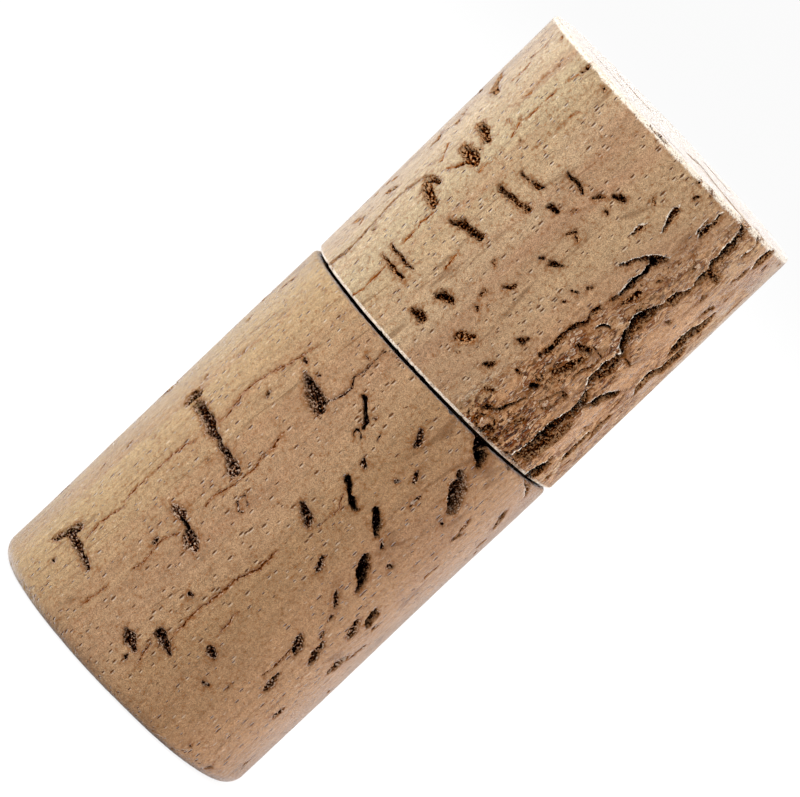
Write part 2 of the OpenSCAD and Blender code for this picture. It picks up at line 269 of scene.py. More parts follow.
CAP_MARKS = (
    growth_line((-41, 40.2), (-42, 39.1), (-41, 38.6), (-41, 37.3)),
    growth_line((-53, 42.8), (-49, 43.7), (-48, 44.4)),
    growth_line((-61, 42.3), (-58, 43.0), (-61, 43.7), (-63, 44.1), width=0.18),
    growth_line((-40, 44.5), (-40, 45.0), (-39, 46.9)),
    growth_line((-40, 54.6), (-41, 53.7), (-42, 52.8), (-42, 51.0), (-42, 50.0), (-43, 49.0), (-42, 48.6),
                (-41, 47.9)),
    growth_line((-42, 50.9), (-36, 50.9)),
    growth_line((-51, 48.3), (-44, 48.6)),
    growth_line((-50, 53.2), (-51, 52.5), (-50, 51.6), (-50, 50.9), (-52, 49.8)),
    growth_line((-64, 52.4), (-63, 51.4), (-64, 50.5)),
    growth_line((-23, 39.7), (-22, 38.3)),
    growth_line((-39, 35.1), (-39, 33.9), (-38, 33.1), (-40, 32.0)),
    growth_line((-65, 55.5), (-66, 54.7), (-65, 53.8), (-67, 52.4), (-67, 51.4)),
    growth_line((-30, 55.3), (-30, 54.0), (-29, 53.1), (-30, 51.5), (-30, 50.7), (-31, 48.5), width=0.1),
    crack(((41.4, 55.5, 0.44), (42.9, 55.0, 0.71), (43.8, 54.2, 0.79), (43.9, 53.4, 0.75), (44, 52.8, 0.63),
          (43.4, 52.1, 0.47)), 1.2),
    crack(((43.4, 52.1, 0.53), (45, 51.7, 0.5), (45.1, 51.1, 0.57), (45.2, 50.5, 0.47), (45.3, 50.0, 0.22),
          (45.1, 49.4, 0.28)), 1.0),
    stain(((44.9, 51.5, 0.57), (49.2, 51.5, 0.72), (52.4, 51.4, 0.41)), 0.4),
    crack(((45.1, 49.4, 0.39), (43.7, 48.8, 0.71), (43.8, 48.3, 0.86), (42.5, 47.9, 0.55)), 0.9, Fill.DUST),
    crack(((42.5, 47.9, 0.16), (41.2, 47.2, 0.41), (40.6, 46.8, 0.66), (40.3, 46.3, 0.97),
          (39.4, 45.7, 1.04), (39.5, 45.1, 0.97), (40.3, 44.5, 0.85), (41.6, 43.9, 0.72),
          (43.4, 43.4, 0.57), (45.7, 43.1, 0.38)), 1.8),
    crack(((45.7, 43.1, 0.38), (45.2, 42.7, 0.47), (44.3, 42.1, 0.5), (43.3, 41.5, 0.57), (43.4, 41.0, 0.6),
          (43.9, 40.3, 0.63), (44.3, 39.9, 0.44)), 1.3),
    stain(((46.8, 42.5, 0.41), (46.9, 41.7, 0.63), (45.8, 40.8, 0.57)), 0.35),
    crack(((46.5, 39.4, 0.22), (47.9, 38.9, 0.63), (48.8, 38.3, 0.86), (49.3, 37.7, 0.94)), 1.2),
    crack(((49.3, 37.7, 0.72), (48.7, 37.0, 1.01), (48.4, 36.3, 1.26), (48.2, 35.5, 1.41), (48, 34.6, 1.35),
          (47.4, 33.8, 1.1), (46.4, 33.0, 0.85), (44.6, 32.4, 0.41)), 1.8),
    stain(((52.9, 36.7, 0.47), (53.2, 35.4, 0.79), (52.2, 34.3, 0.82), (49.7, 33.0, 0.63)), 0.5),
    Mark(((39.3, 32.1, 0.22), (41.5, 32.2, 0.41), (45.8, 32.0, 0.57), (51.1, 31.9, 0.47)), 0.7),
    crack(((51.0, 38.4, 0.3), (54.2, 39.4, 0.65), (56.2, 40.0, 0.7), (59.2, 40.7, 0.4)), 1.0),
    crack(((66.6, 49.4, 0.4), (67.3, 48.6, 1.0), (66.6, 47.9, 1.1), (64.8, 47.3, 1.2), (64.7, 46.6, 1.35),
          (65.1, 45.9, 1.1), (64.7, 45.3, 0.5)), 1.2),
    crack(((70.4, 46.1, 0.6), (71.2, 45.4, 1.2), (70.8, 44.7, 1.3), (71.1, 44.1, 1.0)), 1.2),
    crack(((71.1, 44.1, 0.9), (68.2, 43.5, 0.9), (65.9, 42.9, 1.0), (67.5, 42.1, 0.9), (68.7, 41.4, 0.4)),
          0.8, Fill.DUST),
    crack(((65.8, 37.1, 0.35), (66.6, 36.4, 0.5), (66, 35.6, 0.5), (66.6, 34.9, 0.55), (67.1, 34.5, 0.25)),
          0.9),
    stain(((68.3, 38.9, 0.4), (68.3, 38.2, 0.8), (68.6, 37.6, 0.8), (70.8, 36.8, 0.3)), 0.4),
    crack(((59.6, 34.0, 0.3), (61.1, 33.4, 0.9), (60, 32.8, 1.1), (58.9, 32.2, 1.0), (57.3, 31.9, 0.4)),
          0.9),
    slit(((64.5, 40.4, 0.13), (64.8, 39.9, 0.17), (64.9, 39.4, 0.09)), 0.5),
    slit(((72.9, 34.6, 0.13), (71.9, 33.9, 0.13)), 0.5),
    slit(((47.6, 42.9, 0.13), (52.7, 42.8, 0.17)), 0.5),
    crack(((50.1, 55.7, 0.16), (52.2, 55.2, 0.2), (52.3, 54.5, 0.25), (51.2, 53.5, 0.16)), 0.6),
    crack(((63.3, 55.7, 0.3), (62, 55.1, 0.8), (61.5, 54.6, 0.9), (61.6, 53.9, 0.4)), 0.7, Fill.DUST),
    stain(((60, 53.4, 0.31), (59.6, 52.8, 0.41), (58.7, 52.3, 0.22), (58.8, 51.8, 0.13)), 0.4),
    slit(((67.4, 54.7, 0.16), (67.9, 54.1, 0.2)), 0.5),
    slit(((73.5, 53.8, 0.13), (71.8, 53.3, 0.17), (70.6, 52.8, 0.13)), 0.5),
    slit(((79.1, 52.6, 0.16), (78.3, 51.8, 0.2)), 0.5),
    stain(((65.2, 51.4, 0.22), (64.8, 50.7, 0.22)), 0.4),
    Mark(((77.1, 51.2, 0.28), (77.5, 50.2, 0.25)), 0.5),
    stain(((64.4, 50.1, 0.22), (60.9, 49.5, 0.38), (60.3, 48.6, 0.28)), 0.35),
    stain(((55.2, 50.6, 0.13), (52.7, 49.8, 0.35), (53.2, 48.9, 0.16)), 0.35),
    Mark(((47.9, 46.7, 0.28), (50.1, 46.9, 0.5)), 0.4),
    crack(((19, 47.4, 0.16), (20.4, 47.9, 0.24), (21.8, 48.5, 0.33), (23.9, 49.0, 0.38), (26.2, 49.5, 0.63),
          (28.5, 49.8, 0.6), (29.8, 50.2, 0.22)), 0.8, Fill.DUST),
    crack(((27.1, 49.3, 0.66), (26.9, 48.8, 0.57), (27.3, 48.1, 0.44), (27.1, 47.4, 0.47),
          (26.6, 46.9, 0.44), (26.7, 46.2, 0.38), (26.9, 45.7, 0.28)), 0.9),
    Mark(((27, 45.7, 0.47), (26.1, 45.3, 0.44), (25.4, 45.1, 0.16)), 0.6),
    stain(((29.8, 50.2, 0.14), (31, 50.8, 0.14), (30.8, 51.7, 0.09)), 0.2),
    stain(((31.6, 46.9, 0.57), (30.8, 46.1, 0.57), (29.7, 45.6, 0.31)), 0.2),
    stain(((25.2, 44.4, 0.38), (24.7, 43.8, 0.5), (24.5, 43.4, 0.28), (25.9, 43.1, 0.22)), 0.3),
    Mark(((23, 39.4, 0.47), (23.6, 39.9, 0.53), (23, 40.6, 0.38), (22.7, 41.1, 0.41), (23, 41.8, 0.5),
         (23.9, 42.3, 0.44), (25.3, 42.8, 0.38), (25.7, 43.2, 0.22)), 0.45, Fill.DUST, 0.12),
    crack(((29.9, 43.1, 0.19), (30.7, 43.5, 0.27), (32.6, 43.7, 0.27), (34.6, 43.7, 0.13)), 0.5),
    stain(((29.5, 41.3, 0.53), (32.1, 41.4, 0.72), (34.7, 41.5, 0.53)), 0.4),
    stain(((30.7, 38.8, 0.63), (32.5, 39.4, 0.79), (33.6, 40.2, 0.79), (35, 40.8, 0.47)), 0.35),
    slit(((37, 39.4, 0.16), (38, 40.1, 0.2), (39.3, 40.8, 0.2), (39.7, 41.5, 0.16)), 0.3, Fill.DUST),
    slit(((34, 41.9, 0.13), (36.7, 41.9, 0.16), (39.8, 41.8, 0.13)), 0.3, Fill.DUST),
    slit(((28.5, 38.0, 0.22), (26.6, 38.0, 0.16), (26.5, 37.7, 0.16), (28, 37.5, 0.19), (29.2, 37.7, 0.19),
         (29.4, 38.0, 0.13)), 0.25, Fill.BROWN),
    Mark(((28.3, 37.0, 0.38), (29.8, 37.2, 0.44)), 0.7, Fill.OPEN),
    slit(((30.3, 36.0, 0.13), (28.7, 35.4, 0.17), (27.4, 34.8, 0.24), (26.3, 34.2, 0.31)), 0.5),
    Mark(((25.2, 34.0, 0.28), (22.9, 33.7, 0.57), (22.1, 33.4, 0.22)), 0.6),
    Mark(((24.9, 31.9, 0.38), (27.7, 32.2, 0.5), (28, 32.7, 0.44), (30.3, 32.8, 0.31)), 0.5),
    stain(((28.6, 31.9, 0.31), (31.5, 32.1, 0.57), (33.9, 32.5, 0.31)), 0.4),
    Mark(((12.8, 38.6, 0.31), (14.4, 38.8, 0.6), (15.3, 39.1, 0.31)), 0.5),
    Mark(((11.1, 35.7, 0.28), (12.4, 35.9, 0.57), (12.9, 36.2, 0.25)), 0.5),
    slit(((35.9, 36.1, 0.13), (35.2, 36.6, 0.17), (36.1, 37.2, 0.16), (37.1, 37.7, 0.17),
         (38.7, 38.1, 0.16)), 0.25, Fill.BROWN),
    slit(((35.9, 36.1, 0.13), (39.1, 36.6, 0.17), (40, 37.2, 0.16), (40, 37.9, 0.16)), 0.25, Fill.BROWN),
    Mark(((39.6, 38.1, 0.31), (41.2, 38.1, 0.38)), 0.5),
    stain(((33.9, 34.4, 0.38), (35.2, 34.8, 0.47)), 0.3),
    stain(((17.3, 34.6, 0.31), (19.4, 34.8, 0.41)), 0.3),
    stain(((20.1, 37.0, 0.22), (21.8, 37.0, 0.27)), 0.25),
    Mark(((-1.9, 43.8, 0.25), (-0.3, 43.9, 0.14), (2.2, 44.0, 0.35), (3.8, 44.2, 0.44), (5.8, 44.5, 0.14)),
         0.5),
    stain(((14, 43.7, 0.31), (15.6, 43.9, 0.22)), 0.3),
    stain(((17.1, 44.6, 0.31), (18.1, 44.9, 0.35)), 0.3),
    stain(((14.1, 42.7, 0.25), (15, 42.8, 0.22)), 0.25),
    stain(((-6.9, 38.8, 0.25), (-6.9, 39.3, 0.22), (-5.1, 39.3, 0.19)), 0.3),
    stain(((-3, 40.4, 0.31), (-1.6, 40.7, 0.31), (-1.1, 41.3, 0.28)), 0.3),
    stain(((15.8, 55.2, 0.27), (17.5, 55.4, 0.32)), 0.25),
    slit(((21.1, 55.7, 0.12), (23.4, 55.3, 0.2), (25.6, 55.2, 0.2)), 0.4, Fill.DUST),
    slit(((-50.8, 54.2, 0.15), (-49.3, 53.8, 0.15), (-50, 53.4, 0.17)), 0.35, Fill.DUST),
    Mark(((-39.7, 54.8, 0.37), (-39.3, 55.3, 0.42)), 0.35),
    crack(((19, 53.0, 0.55), (19, 52.3, 0.55), (20, 51.7, 0.35), (21, 51.2, 0.15)), 0.7, Fill.DUST),
    crack(((15, 50.7, 0.3), (14.5, 50.2, 0.45), (14, 49.5, 0.35)), 0.4, Fill.BROWN),
    crack(((31.5, 55.0, 0.3), (32, 54.3, 0.55), (31.5, 53.7, 0.6), (32, 53.0, 0.5)), 0.6, Fill.DUST),
    crack(((29, 54.0, 0.3), (30, 52.9, 0.3)), 0.4, Fill.BROWN),
    Mark(((-61, 31.8, 0.3), (-59, 33.5, 0.25), (-59, 35.3, 0.2), (-61, 38.0, 0.16), (-61, 39.2, 0.16),
         (-59, 40.8, 0.2), (-58, 41.4, 0.2)), 0.35, Fill.BROWN, 0.15, 0.8),
    Mark(((-77, 50.1, 0.3), (-73, 49.7, 0.65), (-69.5, 49.1, 0.7), (-65, 49.1, 0.4)), 0.6, Fill.BROWN),
    Mark(((-57, 46.7, 0.7), (-53, 46.7, 0.95), (-48.5, 46.5, 0.85)), 0.6, Fill.BROWN),
    Mark(((-54, 44.8, 0.9), (-50.5, 44.8, 1.15), (-46.5, 44.9, 1.15), (-44, 44.8, 0.85)), 0.5, Fill.BROWN),
    Mark(((-47.5, 44.4, 0.3), (-48.5, 43.7, 0.2), (-51, 43.1, 0.1)), 0.4),
    Mark(((-49.5, 41.9, 0.3), (-53, 41.8, 0.5), (-55.5, 41.4, 0.85), (-52.5, 40.9, 0.9), (-48, 40.8, 0.95),
         (-44.5, 40.6, 0.8), (-42.5, 40.5, 0.35)), 0.5, Fill.BROWN),
    Mark(((-34, 40.7, 0.3), (-32, 40.8, 0.4), (-29.5, 41.3, 0.85), (-27, 41.4, 0.5), (-24.5, 41.4, 0.7),
         (-21, 41.6, 0.6)), 0.6),
    Mark(((-29, 45.0, 0.55), (-26.5, 45.0, 0.55), (-23, 45.1, 0.6), (-19, 45.2, 0.65), (-16, 45.4, 0.5)),
         0.5, Fill.BROWN),
    Mark(((-29, 45.0, 0.45), (-27, 45.0, 0.4)), 0.7),
    Mark(((-28, 46.8, 0.3), (-25.5, 46.8, 0.35), (-22.5, 46.9, 0.5), (-19.5, 47.0, 0.55),
         (-17.5, 47.4, 0.1)), 0.5, Fill.BROWN),
    Mark(((-44, 35.5, 0.2), (-40, 35.5, 0.35), (-35.5, 35.5, 0.4), (-31.5, 35.5, 0.35), (-29, 35.6, 0.15)),
         0.4, Fill.BROWN),
    Mark(((-44.5, 36.4, 0.2), (-40.5, 36.4, 0.35), (-36.5, 36.4, 0.35), (-33.5, 36.4, 0.35),
         (-30, 36.5, 0.15)), 0.4),
    Mark(((-16, 49.2, 0.2), (-13.5, 49.2, 0.45), (-10.5, 49.3, 0.5), (-7.5, 49.1, 0.35)), 0.7),
    Mark(((-3.5, 49.3, 0.25), (-2.5, 49.7, 0.55), (-1, 49.9, 0.3)), 0.4, Fill.BROWN),
    Mark(((0.5, 50.5, 0.4), (2, 50.7, 0.55), (4, 50.8, 0.45)), 0.6),
    Mark(((-12.5, 46.6, 0.3), (-11, 46.8, 0.6), (-9.5, 46.8, 0.5)), 0.6),
    Mark(((-1, 46.3, 0.35), (0.5, 46.8, 0.35), (3, 46.5, 0.3)), 0.4, Fill.BROWN),
    Mark(((-17, 36.6, 0.5), (-15.5, 36.9, 0.9), (-12.5, 37.0, 0.7)), 0.6),
    Mark(((-19, 34.6, 0.6), (-16.5, 34.7, 0.95), (-15, 34.7, 0.7)), 0.6),
    Mark(((23, 55.6, 0.14), (25, 54.9, 0.14)), 0.3),
    Mark(((-7.6, 55.85, 0.36), (-4.3, 55.9, 0.5), (-0.5, 55.85, 0.36)), 0.35, Fill.OPEN, 0.05, 0.3),
    pit(-73.5, 46.2, 1.0, 0.25, 20),
    Mark(((-76, 44.0, 0.3), (-73, 43.6, 0.4), (-73.5, 43.1, 0.25)), 0.5),
    pit(-71, 35.5, 0.8, 0.4, 40, Fill.BROWN),
    pit(-69, 38.8, 1.2, 0.4, 60, Fill.BROWN),
    pit(11, 52.2, 0.7, 0.35, -30, Fill.BROWN),
    pit(0, 36.0, 1.4, 0.8, 50, Fill.BROWN),
    ring(26, 32.8, 1.6, 1.2, 20),
)


class GrainNoise:
    """Seeded gradient noise in three dimensions, from about -1 to 1."""

    # Places along each side of the lattice before it repeats
    LATTICE = 256
    # Brings the noise to about -1 to 1
    GAIN = 1.6
    # Distance between the places where finer and finer noise is read
    STRIDE = 17.3

    def __init__(self, seed: int) -> None:
        """Shuffles the lattice.

        Args:
            seed: fixes the pattern.
        """
        draw = np.random.default_rng(seed)
        self.order = draw.permutation(self.LATTICE).astype(np.int32)
        slopes = draw.normal(size=(self.LATTICE, 3))
        self.slopes = (slopes / np.linalg.norm(slopes, axis=1)[:, None]).astype(np.float32)

    def at(self, points: np.ndarray) -> np.ndarray:
        """Reads the noise.

        Args:
            points: one row of three numbers for each point, in units of the lattice.

        Returns:
            One number for each point.
        """
        base = np.floor(points).astype(np.int32)
        offset = (points - base).astype(np.float32)
        fade = offset ** 3 * (offset * (offset * 6 - 15) + 10)
        total = np.zeros(len(points), np.float32)
        last = self.LATTICE - 1
        for corner in itertools.product((0, 1), repeat=3):
            cell = (base + np.array(corner, np.int32)) & last
            pick = self.order[(self.order[cell[:, 0]] + cell[:, 1]) & last]
            pick = self.order[(pick + cell[:, 2]) & last]
            reach = offset - np.array(corner, np.float32)
            weight = np.prod(np.where(corner, fade, 1 - fade), axis=1)
            total += weight * (self.slopes[pick] * reach).sum(1)
        return total * self.GAIN

    def layered(self, points: np.ndarray, across: float, along: float, octaves: int) -> np.ndarray:
        """Adds up finer and finer noise.

        Args:
            points: positions in millimetres.
            across: size of the largest features square to the axis.
            along: size of the largest features along the axis.
            octaves: how many times the size is halved.

        Returns:
            One number for each point.
        """
        scaled = points / np.array([across, across, along])
        total = np.zeros(len(points), np.float32)
        for step in range(octaves):
            total += self.at(scaled * 2 ** step + self.STRIDE * step) * 0.5 ** step
        return total


def smooth(low: float, high: float, value: np.ndarray) -> np.ndarray:
    """Rises smoothly from 0 at low to 1 at high."""
    share = np.clip((value - low) / (high - low), 0, 1)
    return share * share * (3 - 2 * share)


class TurnedSurface:
    """Rings of points round the axis, from the axis at one end of an outline to the axis at the other."""

    # Most and fewest points in a ring
    FINEST = 960 // COARSER
    COARSEST = 30

    def __init__(self, outline: list[tuple[float, float, float]]) -> None:
        """Lays the rings.

        Args:
            outline: radius, height and wanted spacing at each ring, with the axis first and last.
        """
        self.radii = np.array([p[0] for p in outline[1:-1]])
        self.heights = np.array([p[1] for p in outline[1:-1]])
        self.counts = self._ring_counts([p[2] for p in outline[1:-1]])
        self.starts = 1 + np.concatenate([[0], np.cumsum(self.counts)[:-1]])
        ring_of = np.repeat(np.arange(len(self.counts)), self.counts)
        column = np.arange(len(ring_of)) - (self.starts - 1)[ring_of]
        turn = 2 * math.pi * column / self.counts[ring_of]
        edge_r = np.concatenate([[0], self.radii, [0]])
        edge_z = np.concatenate([[outline[0][1]], self.heights, [outline[-1][1]]])
        run, rise = edge_r[2:] - edge_r[:-2], edge_z[2:] - edge_z[:-2]
        size = np.hypot(run, rise)
        outward, upward = (rise / size)[ring_of], (-run / size)[ring_of]
        radius = self.radii[ring_of]
        rings = np.stack([radius * np.sin(turn), -radius * np.cos(turn), self.heights[ring_of]], 1)
        faces = np.stack([outward * np.sin(turn), -outward * np.cos(turn), upward], 1)
        self.points = np.vstack([[0, 0, outline[0][1]], rings, [0, 0, outline[-1][1]]])
        self.normals = np.vstack([[0, 0, -1 if outline[1][0] > 0 else 1], faces, [0, 0, 1]])

    def _ring_counts(self, gaps: list[float]) -> np.ndarray:
        """Picks how many points each ring has, so that neighbours differ by two at most."""
        counts = np.full(len(gaps), self.COARSEST)
        for i, gap in enumerate(gaps):
            while counts[i] * gap < 2 * math.pi * self.radii[i] and counts[i] < self.FINEST:
                counts[i] *= 2
        for order in (range(1, len(gaps)), range(len(gaps) - 2, -1, -1)):
            for i in order:
                beside = counts[i - 1] if order.step > 0 else counts[i + 1]
                counts[i] = max(counts[i], beside // 2)
        return counts

    def triangles(self) -> np.ndarray:
        """Joins each ring to the next and closes both ends, with faces outwards."""
        parts = [self._fan(0, self.starts[0], self.counts[0], True)]
        for i in range(len(self.counts) - 1):
            parts.append(self._band(i))
        parts.append(self._fan(len(self.points) - 1, self.starts[-1], self.counts[-1], False))
        return np.vstack(parts)

    @staticmethod
    def _fan(tip: int, start: int, count: int, foot: bool) -> np.ndarray:
        """Triangles between a point on the axis and its ring."""
        a = start + np.arange(count)
        b = start + (np.arange(count) + 1) % count
        c = np.full(count, tip)
        return np.stack([b, a, c] if foot else [a, b, c], 1)

    def _band(self, i: int) -> np.ndarray:
        """Triangles between ring i and the next, which may have half or twice as many points."""
        low, high = self.counts[i], self.counts[i + 1]
        start, end = self.starts[i], self.starts[i + 1]
        if low == high:
            k = np.arange(low)
            n = (k + 1) % low
            return np.vstack([np.stack([start + k, start + n, end + k], 1),
                              np.stack([start + n, end + n, end + k], 1)])
        if low > high:
            k = np.arange(high)
            a, m, b = start + 2 * k, start + 2 * k + 1, start + (2 * k + 2) % low
            c, d = end + k, end + (k + 1) % high
            return np.vstack([np.stack([a, m, c], 1), np.stack([m, d, c], 1), np.stack([m, b, d], 1)])
        k = np.arange(low)
        c, m, d = end + 2 * k, end + 2 * k + 1, end + (2 * k + 2) % high
        a, b = start + k, start + (k + 1) % low
        return np.vstack([np.stack([a, m, c], 1), np.stack([a, b, m], 1), np.stack([b, d, m], 1)])

    def near_wall(self, bearing: float, height: float, turn: float, reach: float,
                  inner: float) -> np.ndarray:
        """Finds the points of the outer wall near a place.

        Args:
            bearing: middle of the window round the axis.
            height: middle of the window above the base.
            turn: half the window's angle.
            reach: half the window's height.
            inner: radius within which rings are left out.

        Returns:
            The points' indices.
        """
        rings = np.nonzero((abs(self.heights - height) <= reach) & (self.radii > inner))[0]
        found = []
        for ring in rings:
            count = self.counts[ring]
            middle = bearing / 360 * count
            half = turn / 360 * count + 1
            columns = np.arange(math.floor(middle - half), math.ceil(middle + half) + 1)
            found.append(self.starts[ring] + columns[:count] % count)
        return np.concatenate(found) if found else np.zeros(0, int)


def straight(start: tuple[float, float], end: tuple[float, float], step: float,
             gap: float) -> list[tuple[float, float, float]]:
    """Rings along a straight stretch of an outline.

    Args:
        start: radius and height where it starts.
        end: radius and height where it ends, which is left out.
        step: distance from ring to ring.
        gap: wanted distance between a ring's points.

    Returns:
        Radius, height and gap of each ring.
    """
    count = max(1, round(math.dist(start, end) / step))
    return [(start[0] + (end[0] - start[0]) * i / count, start[1] + (end[1] - start[1]) * i / count, gap)
            for i in range(count)]


def rounded(centre: tuple[float, float], radius: float, first: float, last: float, step: float,
            gap: float) -> list[tuple[float, float, float]]:
    """Rings round an eased edge.

    Args:
        centre: radius and height of the edge's centre.
        radius: radius of the edge.
        first: angle where it starts, in degrees, with 0 pointing outwards and 90 up.
        last: angle where it ends, which is left out.
        step: distance from ring to ring.
        gap: wanted distance between a ring's points.

    Returns:
        Radius, height and gap of each ring.
    """
    count = max(2, round(radius * math.radians(abs(last - first)) / step))
    angles = [math.radians(first + (last - first) * i / count) for i in range(count)]
    return [(centre[0] + radius * math.cos(a), centre[1] + radius * math.sin(a), gap) for a in angles]


@dataclass
class CorkSurface:
    """What weathering and growth have done to a cork blank's surface.

    Attributes:
        surface: the smooth rings.
        wall: radius of the outer wall.
        seed: fixes every random choice.
    """

    surface: TurnedSurface
    wall: float
    seed: int

    # Rings that lie further in than this under the wall are left alone
    WALL_DEPTH = 2.5
    # Half the width of the thinnest opening
    THINNEST = 0.03
    # Shares of the half width over which an opening reaches its full depth and a crack's core of painted
    # shadow reaches its full darkness
    SIDE, CORE_SIDE = 0.45, 0.3
    # Reach of the painted highlight along a crack's left side
    HIGHLIGHT_REACH = 0.07

    def __post_init__(self) -> None:
        """Makes the noise and the empty layers."""
        self.noise = GrainNoise(self.seed)
        self.random = np.random.default_rng(self.seed)
        points = self.surface.points
        # Edges wander by 0.13 mm every 0.75 mm or so, and by 0.07 mm every 0.24 mm
        self.warp = np.stack([
            0.13 * self.noise.layered(points + shift, 0.75, 0.75, 1)
            + 0.07 * self.noise.layered(points - shift, 0.24, 0.24, 2)
            for shift in (11.0, 37.0, 61.0)], 1)
        self.fine = self.noise.layered(points + 5, 0.2, 0.2, 2)
        size = len(points)
        self.open = np.full(size, -1.0)
        self.depth, self.deep, self.fill, self.stain, self.pale, self.rough = np.zeros((6, size))

    def on_wall(self, path: Path) -> np.ndarray:
        """Turns bearings, heights and widths into places on the wall, close enough to follow its curve."""
        stops = [path[0]]
        for start, end in zip(path, path[1:]):
            parts = max(1, math.ceil(abs(end[0] - start[0]) / 4))
            stops += [tuple(a + (b - a) * k / parts for a, b in zip(start, end))
                      for k in range(1, parts + 1)]
        turn = np.radians([s[0] for s in stops])
        return np.stack([self.wall * np.sin(turn), -self.wall * np.cos(turn),
                         [s[1] for s in stops], [s[2] for s in stops]], 1)

    def open_mark(self, mark: Mark) -> None:
        """Cuts one mark into the wall.

        Args:
            mark: the lenticel or crack.
        """
        route = self.on_wall(mark.path)
        bearings = [p[0] for p in mark.path]
        heights = [p[1] for p in mark.path]
        margin = max(p[2] for p in mark.path) + mark.fringe * 4 + 0.3
        middle = (min(bearings) + max(bearings)) / 2
        turn = (max(bearings) - min(bearings)) / 2 + math.degrees(margin / self.wall)
        height = (min(heights) + max(heights)) / 2
        reach = (max(heights) - min(heights)) / 2 + margin
        near = self.surface.near_wall(middle, height, turn, reach, self.wall - self.WALL_DEPTH)
        self.carve(near, route, mark)

    def carve(self, near: np.ndarray, route: np.ndarray, mark: Mark) -> None:
        """Deepens and colours the points that a route passes.

        Args:
            near: indices of the points that it can reach.
            route: X, Y, Z and width at points along it.
            mark: its depth, fill and edge.
        """
        if not len(near):
            return
        places = self.surface.points[near] + self.warp[near] * mark.ragged
        turn = self.surface.points[near][:, [1, 0]] * [-1, 1]
        turn = turn / np.maximum(np.linalg.norm(turn, axis=1), 1e-6)[:, None]
        share, outside, side = (np.full(len(near), 1e9) for _ in range(3))
        for start, end in zip(route, route[1:]):
            run = end[:3] - start[:3]
            along = np.clip((places - start[:3]) @ run / max(run @ run, 1e-9), 0, 1)
            offset = places - start[:3] - along[:, None] * run
            away = np.linalg.norm(offset, axis=1)
            half = np.maximum((start[3] + (end[3] - start[3]) * along) / 2, self.THINNEST)
            closer = away / half < share
            share = np.where(closer, away / half, share)
            side = np.where(closer, (offset[:, :2] * turn).sum(1) / half, side)
            outside = np.minimum(outside, away - half)
        inside = np.clip((1.0 - share) / self.SIDE, 0, 1) ** 0.7
        inside = inside * (1 - mark.slope * smooth(-0.35, 0.95, side))
        cut = mark.depth * inside * (1 + 0.3 * self.fine[near] * (0.4 + mark.fill.value))
        self.depth[near] = np.maximum(cut, self.depth[near])
        opened = np.clip(1.0 - share, -1, 1)
        newer = opened > self.open[near]
        self.fill[near] = np.where(newer, mark.fill.value, self.fill[near])
        # The deep layer darkens each opening towards its depth as painted shade; on a crack the dark core is
        # held to its left side as painted shadow under its lit edge
        core = inside
        if mark.slope:
            core = np.clip((1.0 - share) / self.CORE_SIDE, 0, 1)
            core = core * (1 - 1.7 * mark.slope * smooth(0.45, 0.85, side))
        self.deep[near] = np.where(newer, core, self.deep[near])
        self.open[near] = np.maximum(self.open[near], opened)
        edge = np.exp(-np.maximum(outside, 0) / mark.fringe)
        # Painted highlight along a crack's left edge, the side towards the key lamp
        if mark.slope:
            highlight = 1.6 * np.exp(-np.maximum(outside, 0) / self.HIGHLIGHT_REACH) * smooth(0.3, -0.7, side)
            self.pale[near] = np.maximum(self.pale[near], highlight)
            edge = edge * (0.3 + 0.7 * smooth(-0.6, 0.6, side))
        self.stain[near] = np.maximum(self.stain[near], edge)


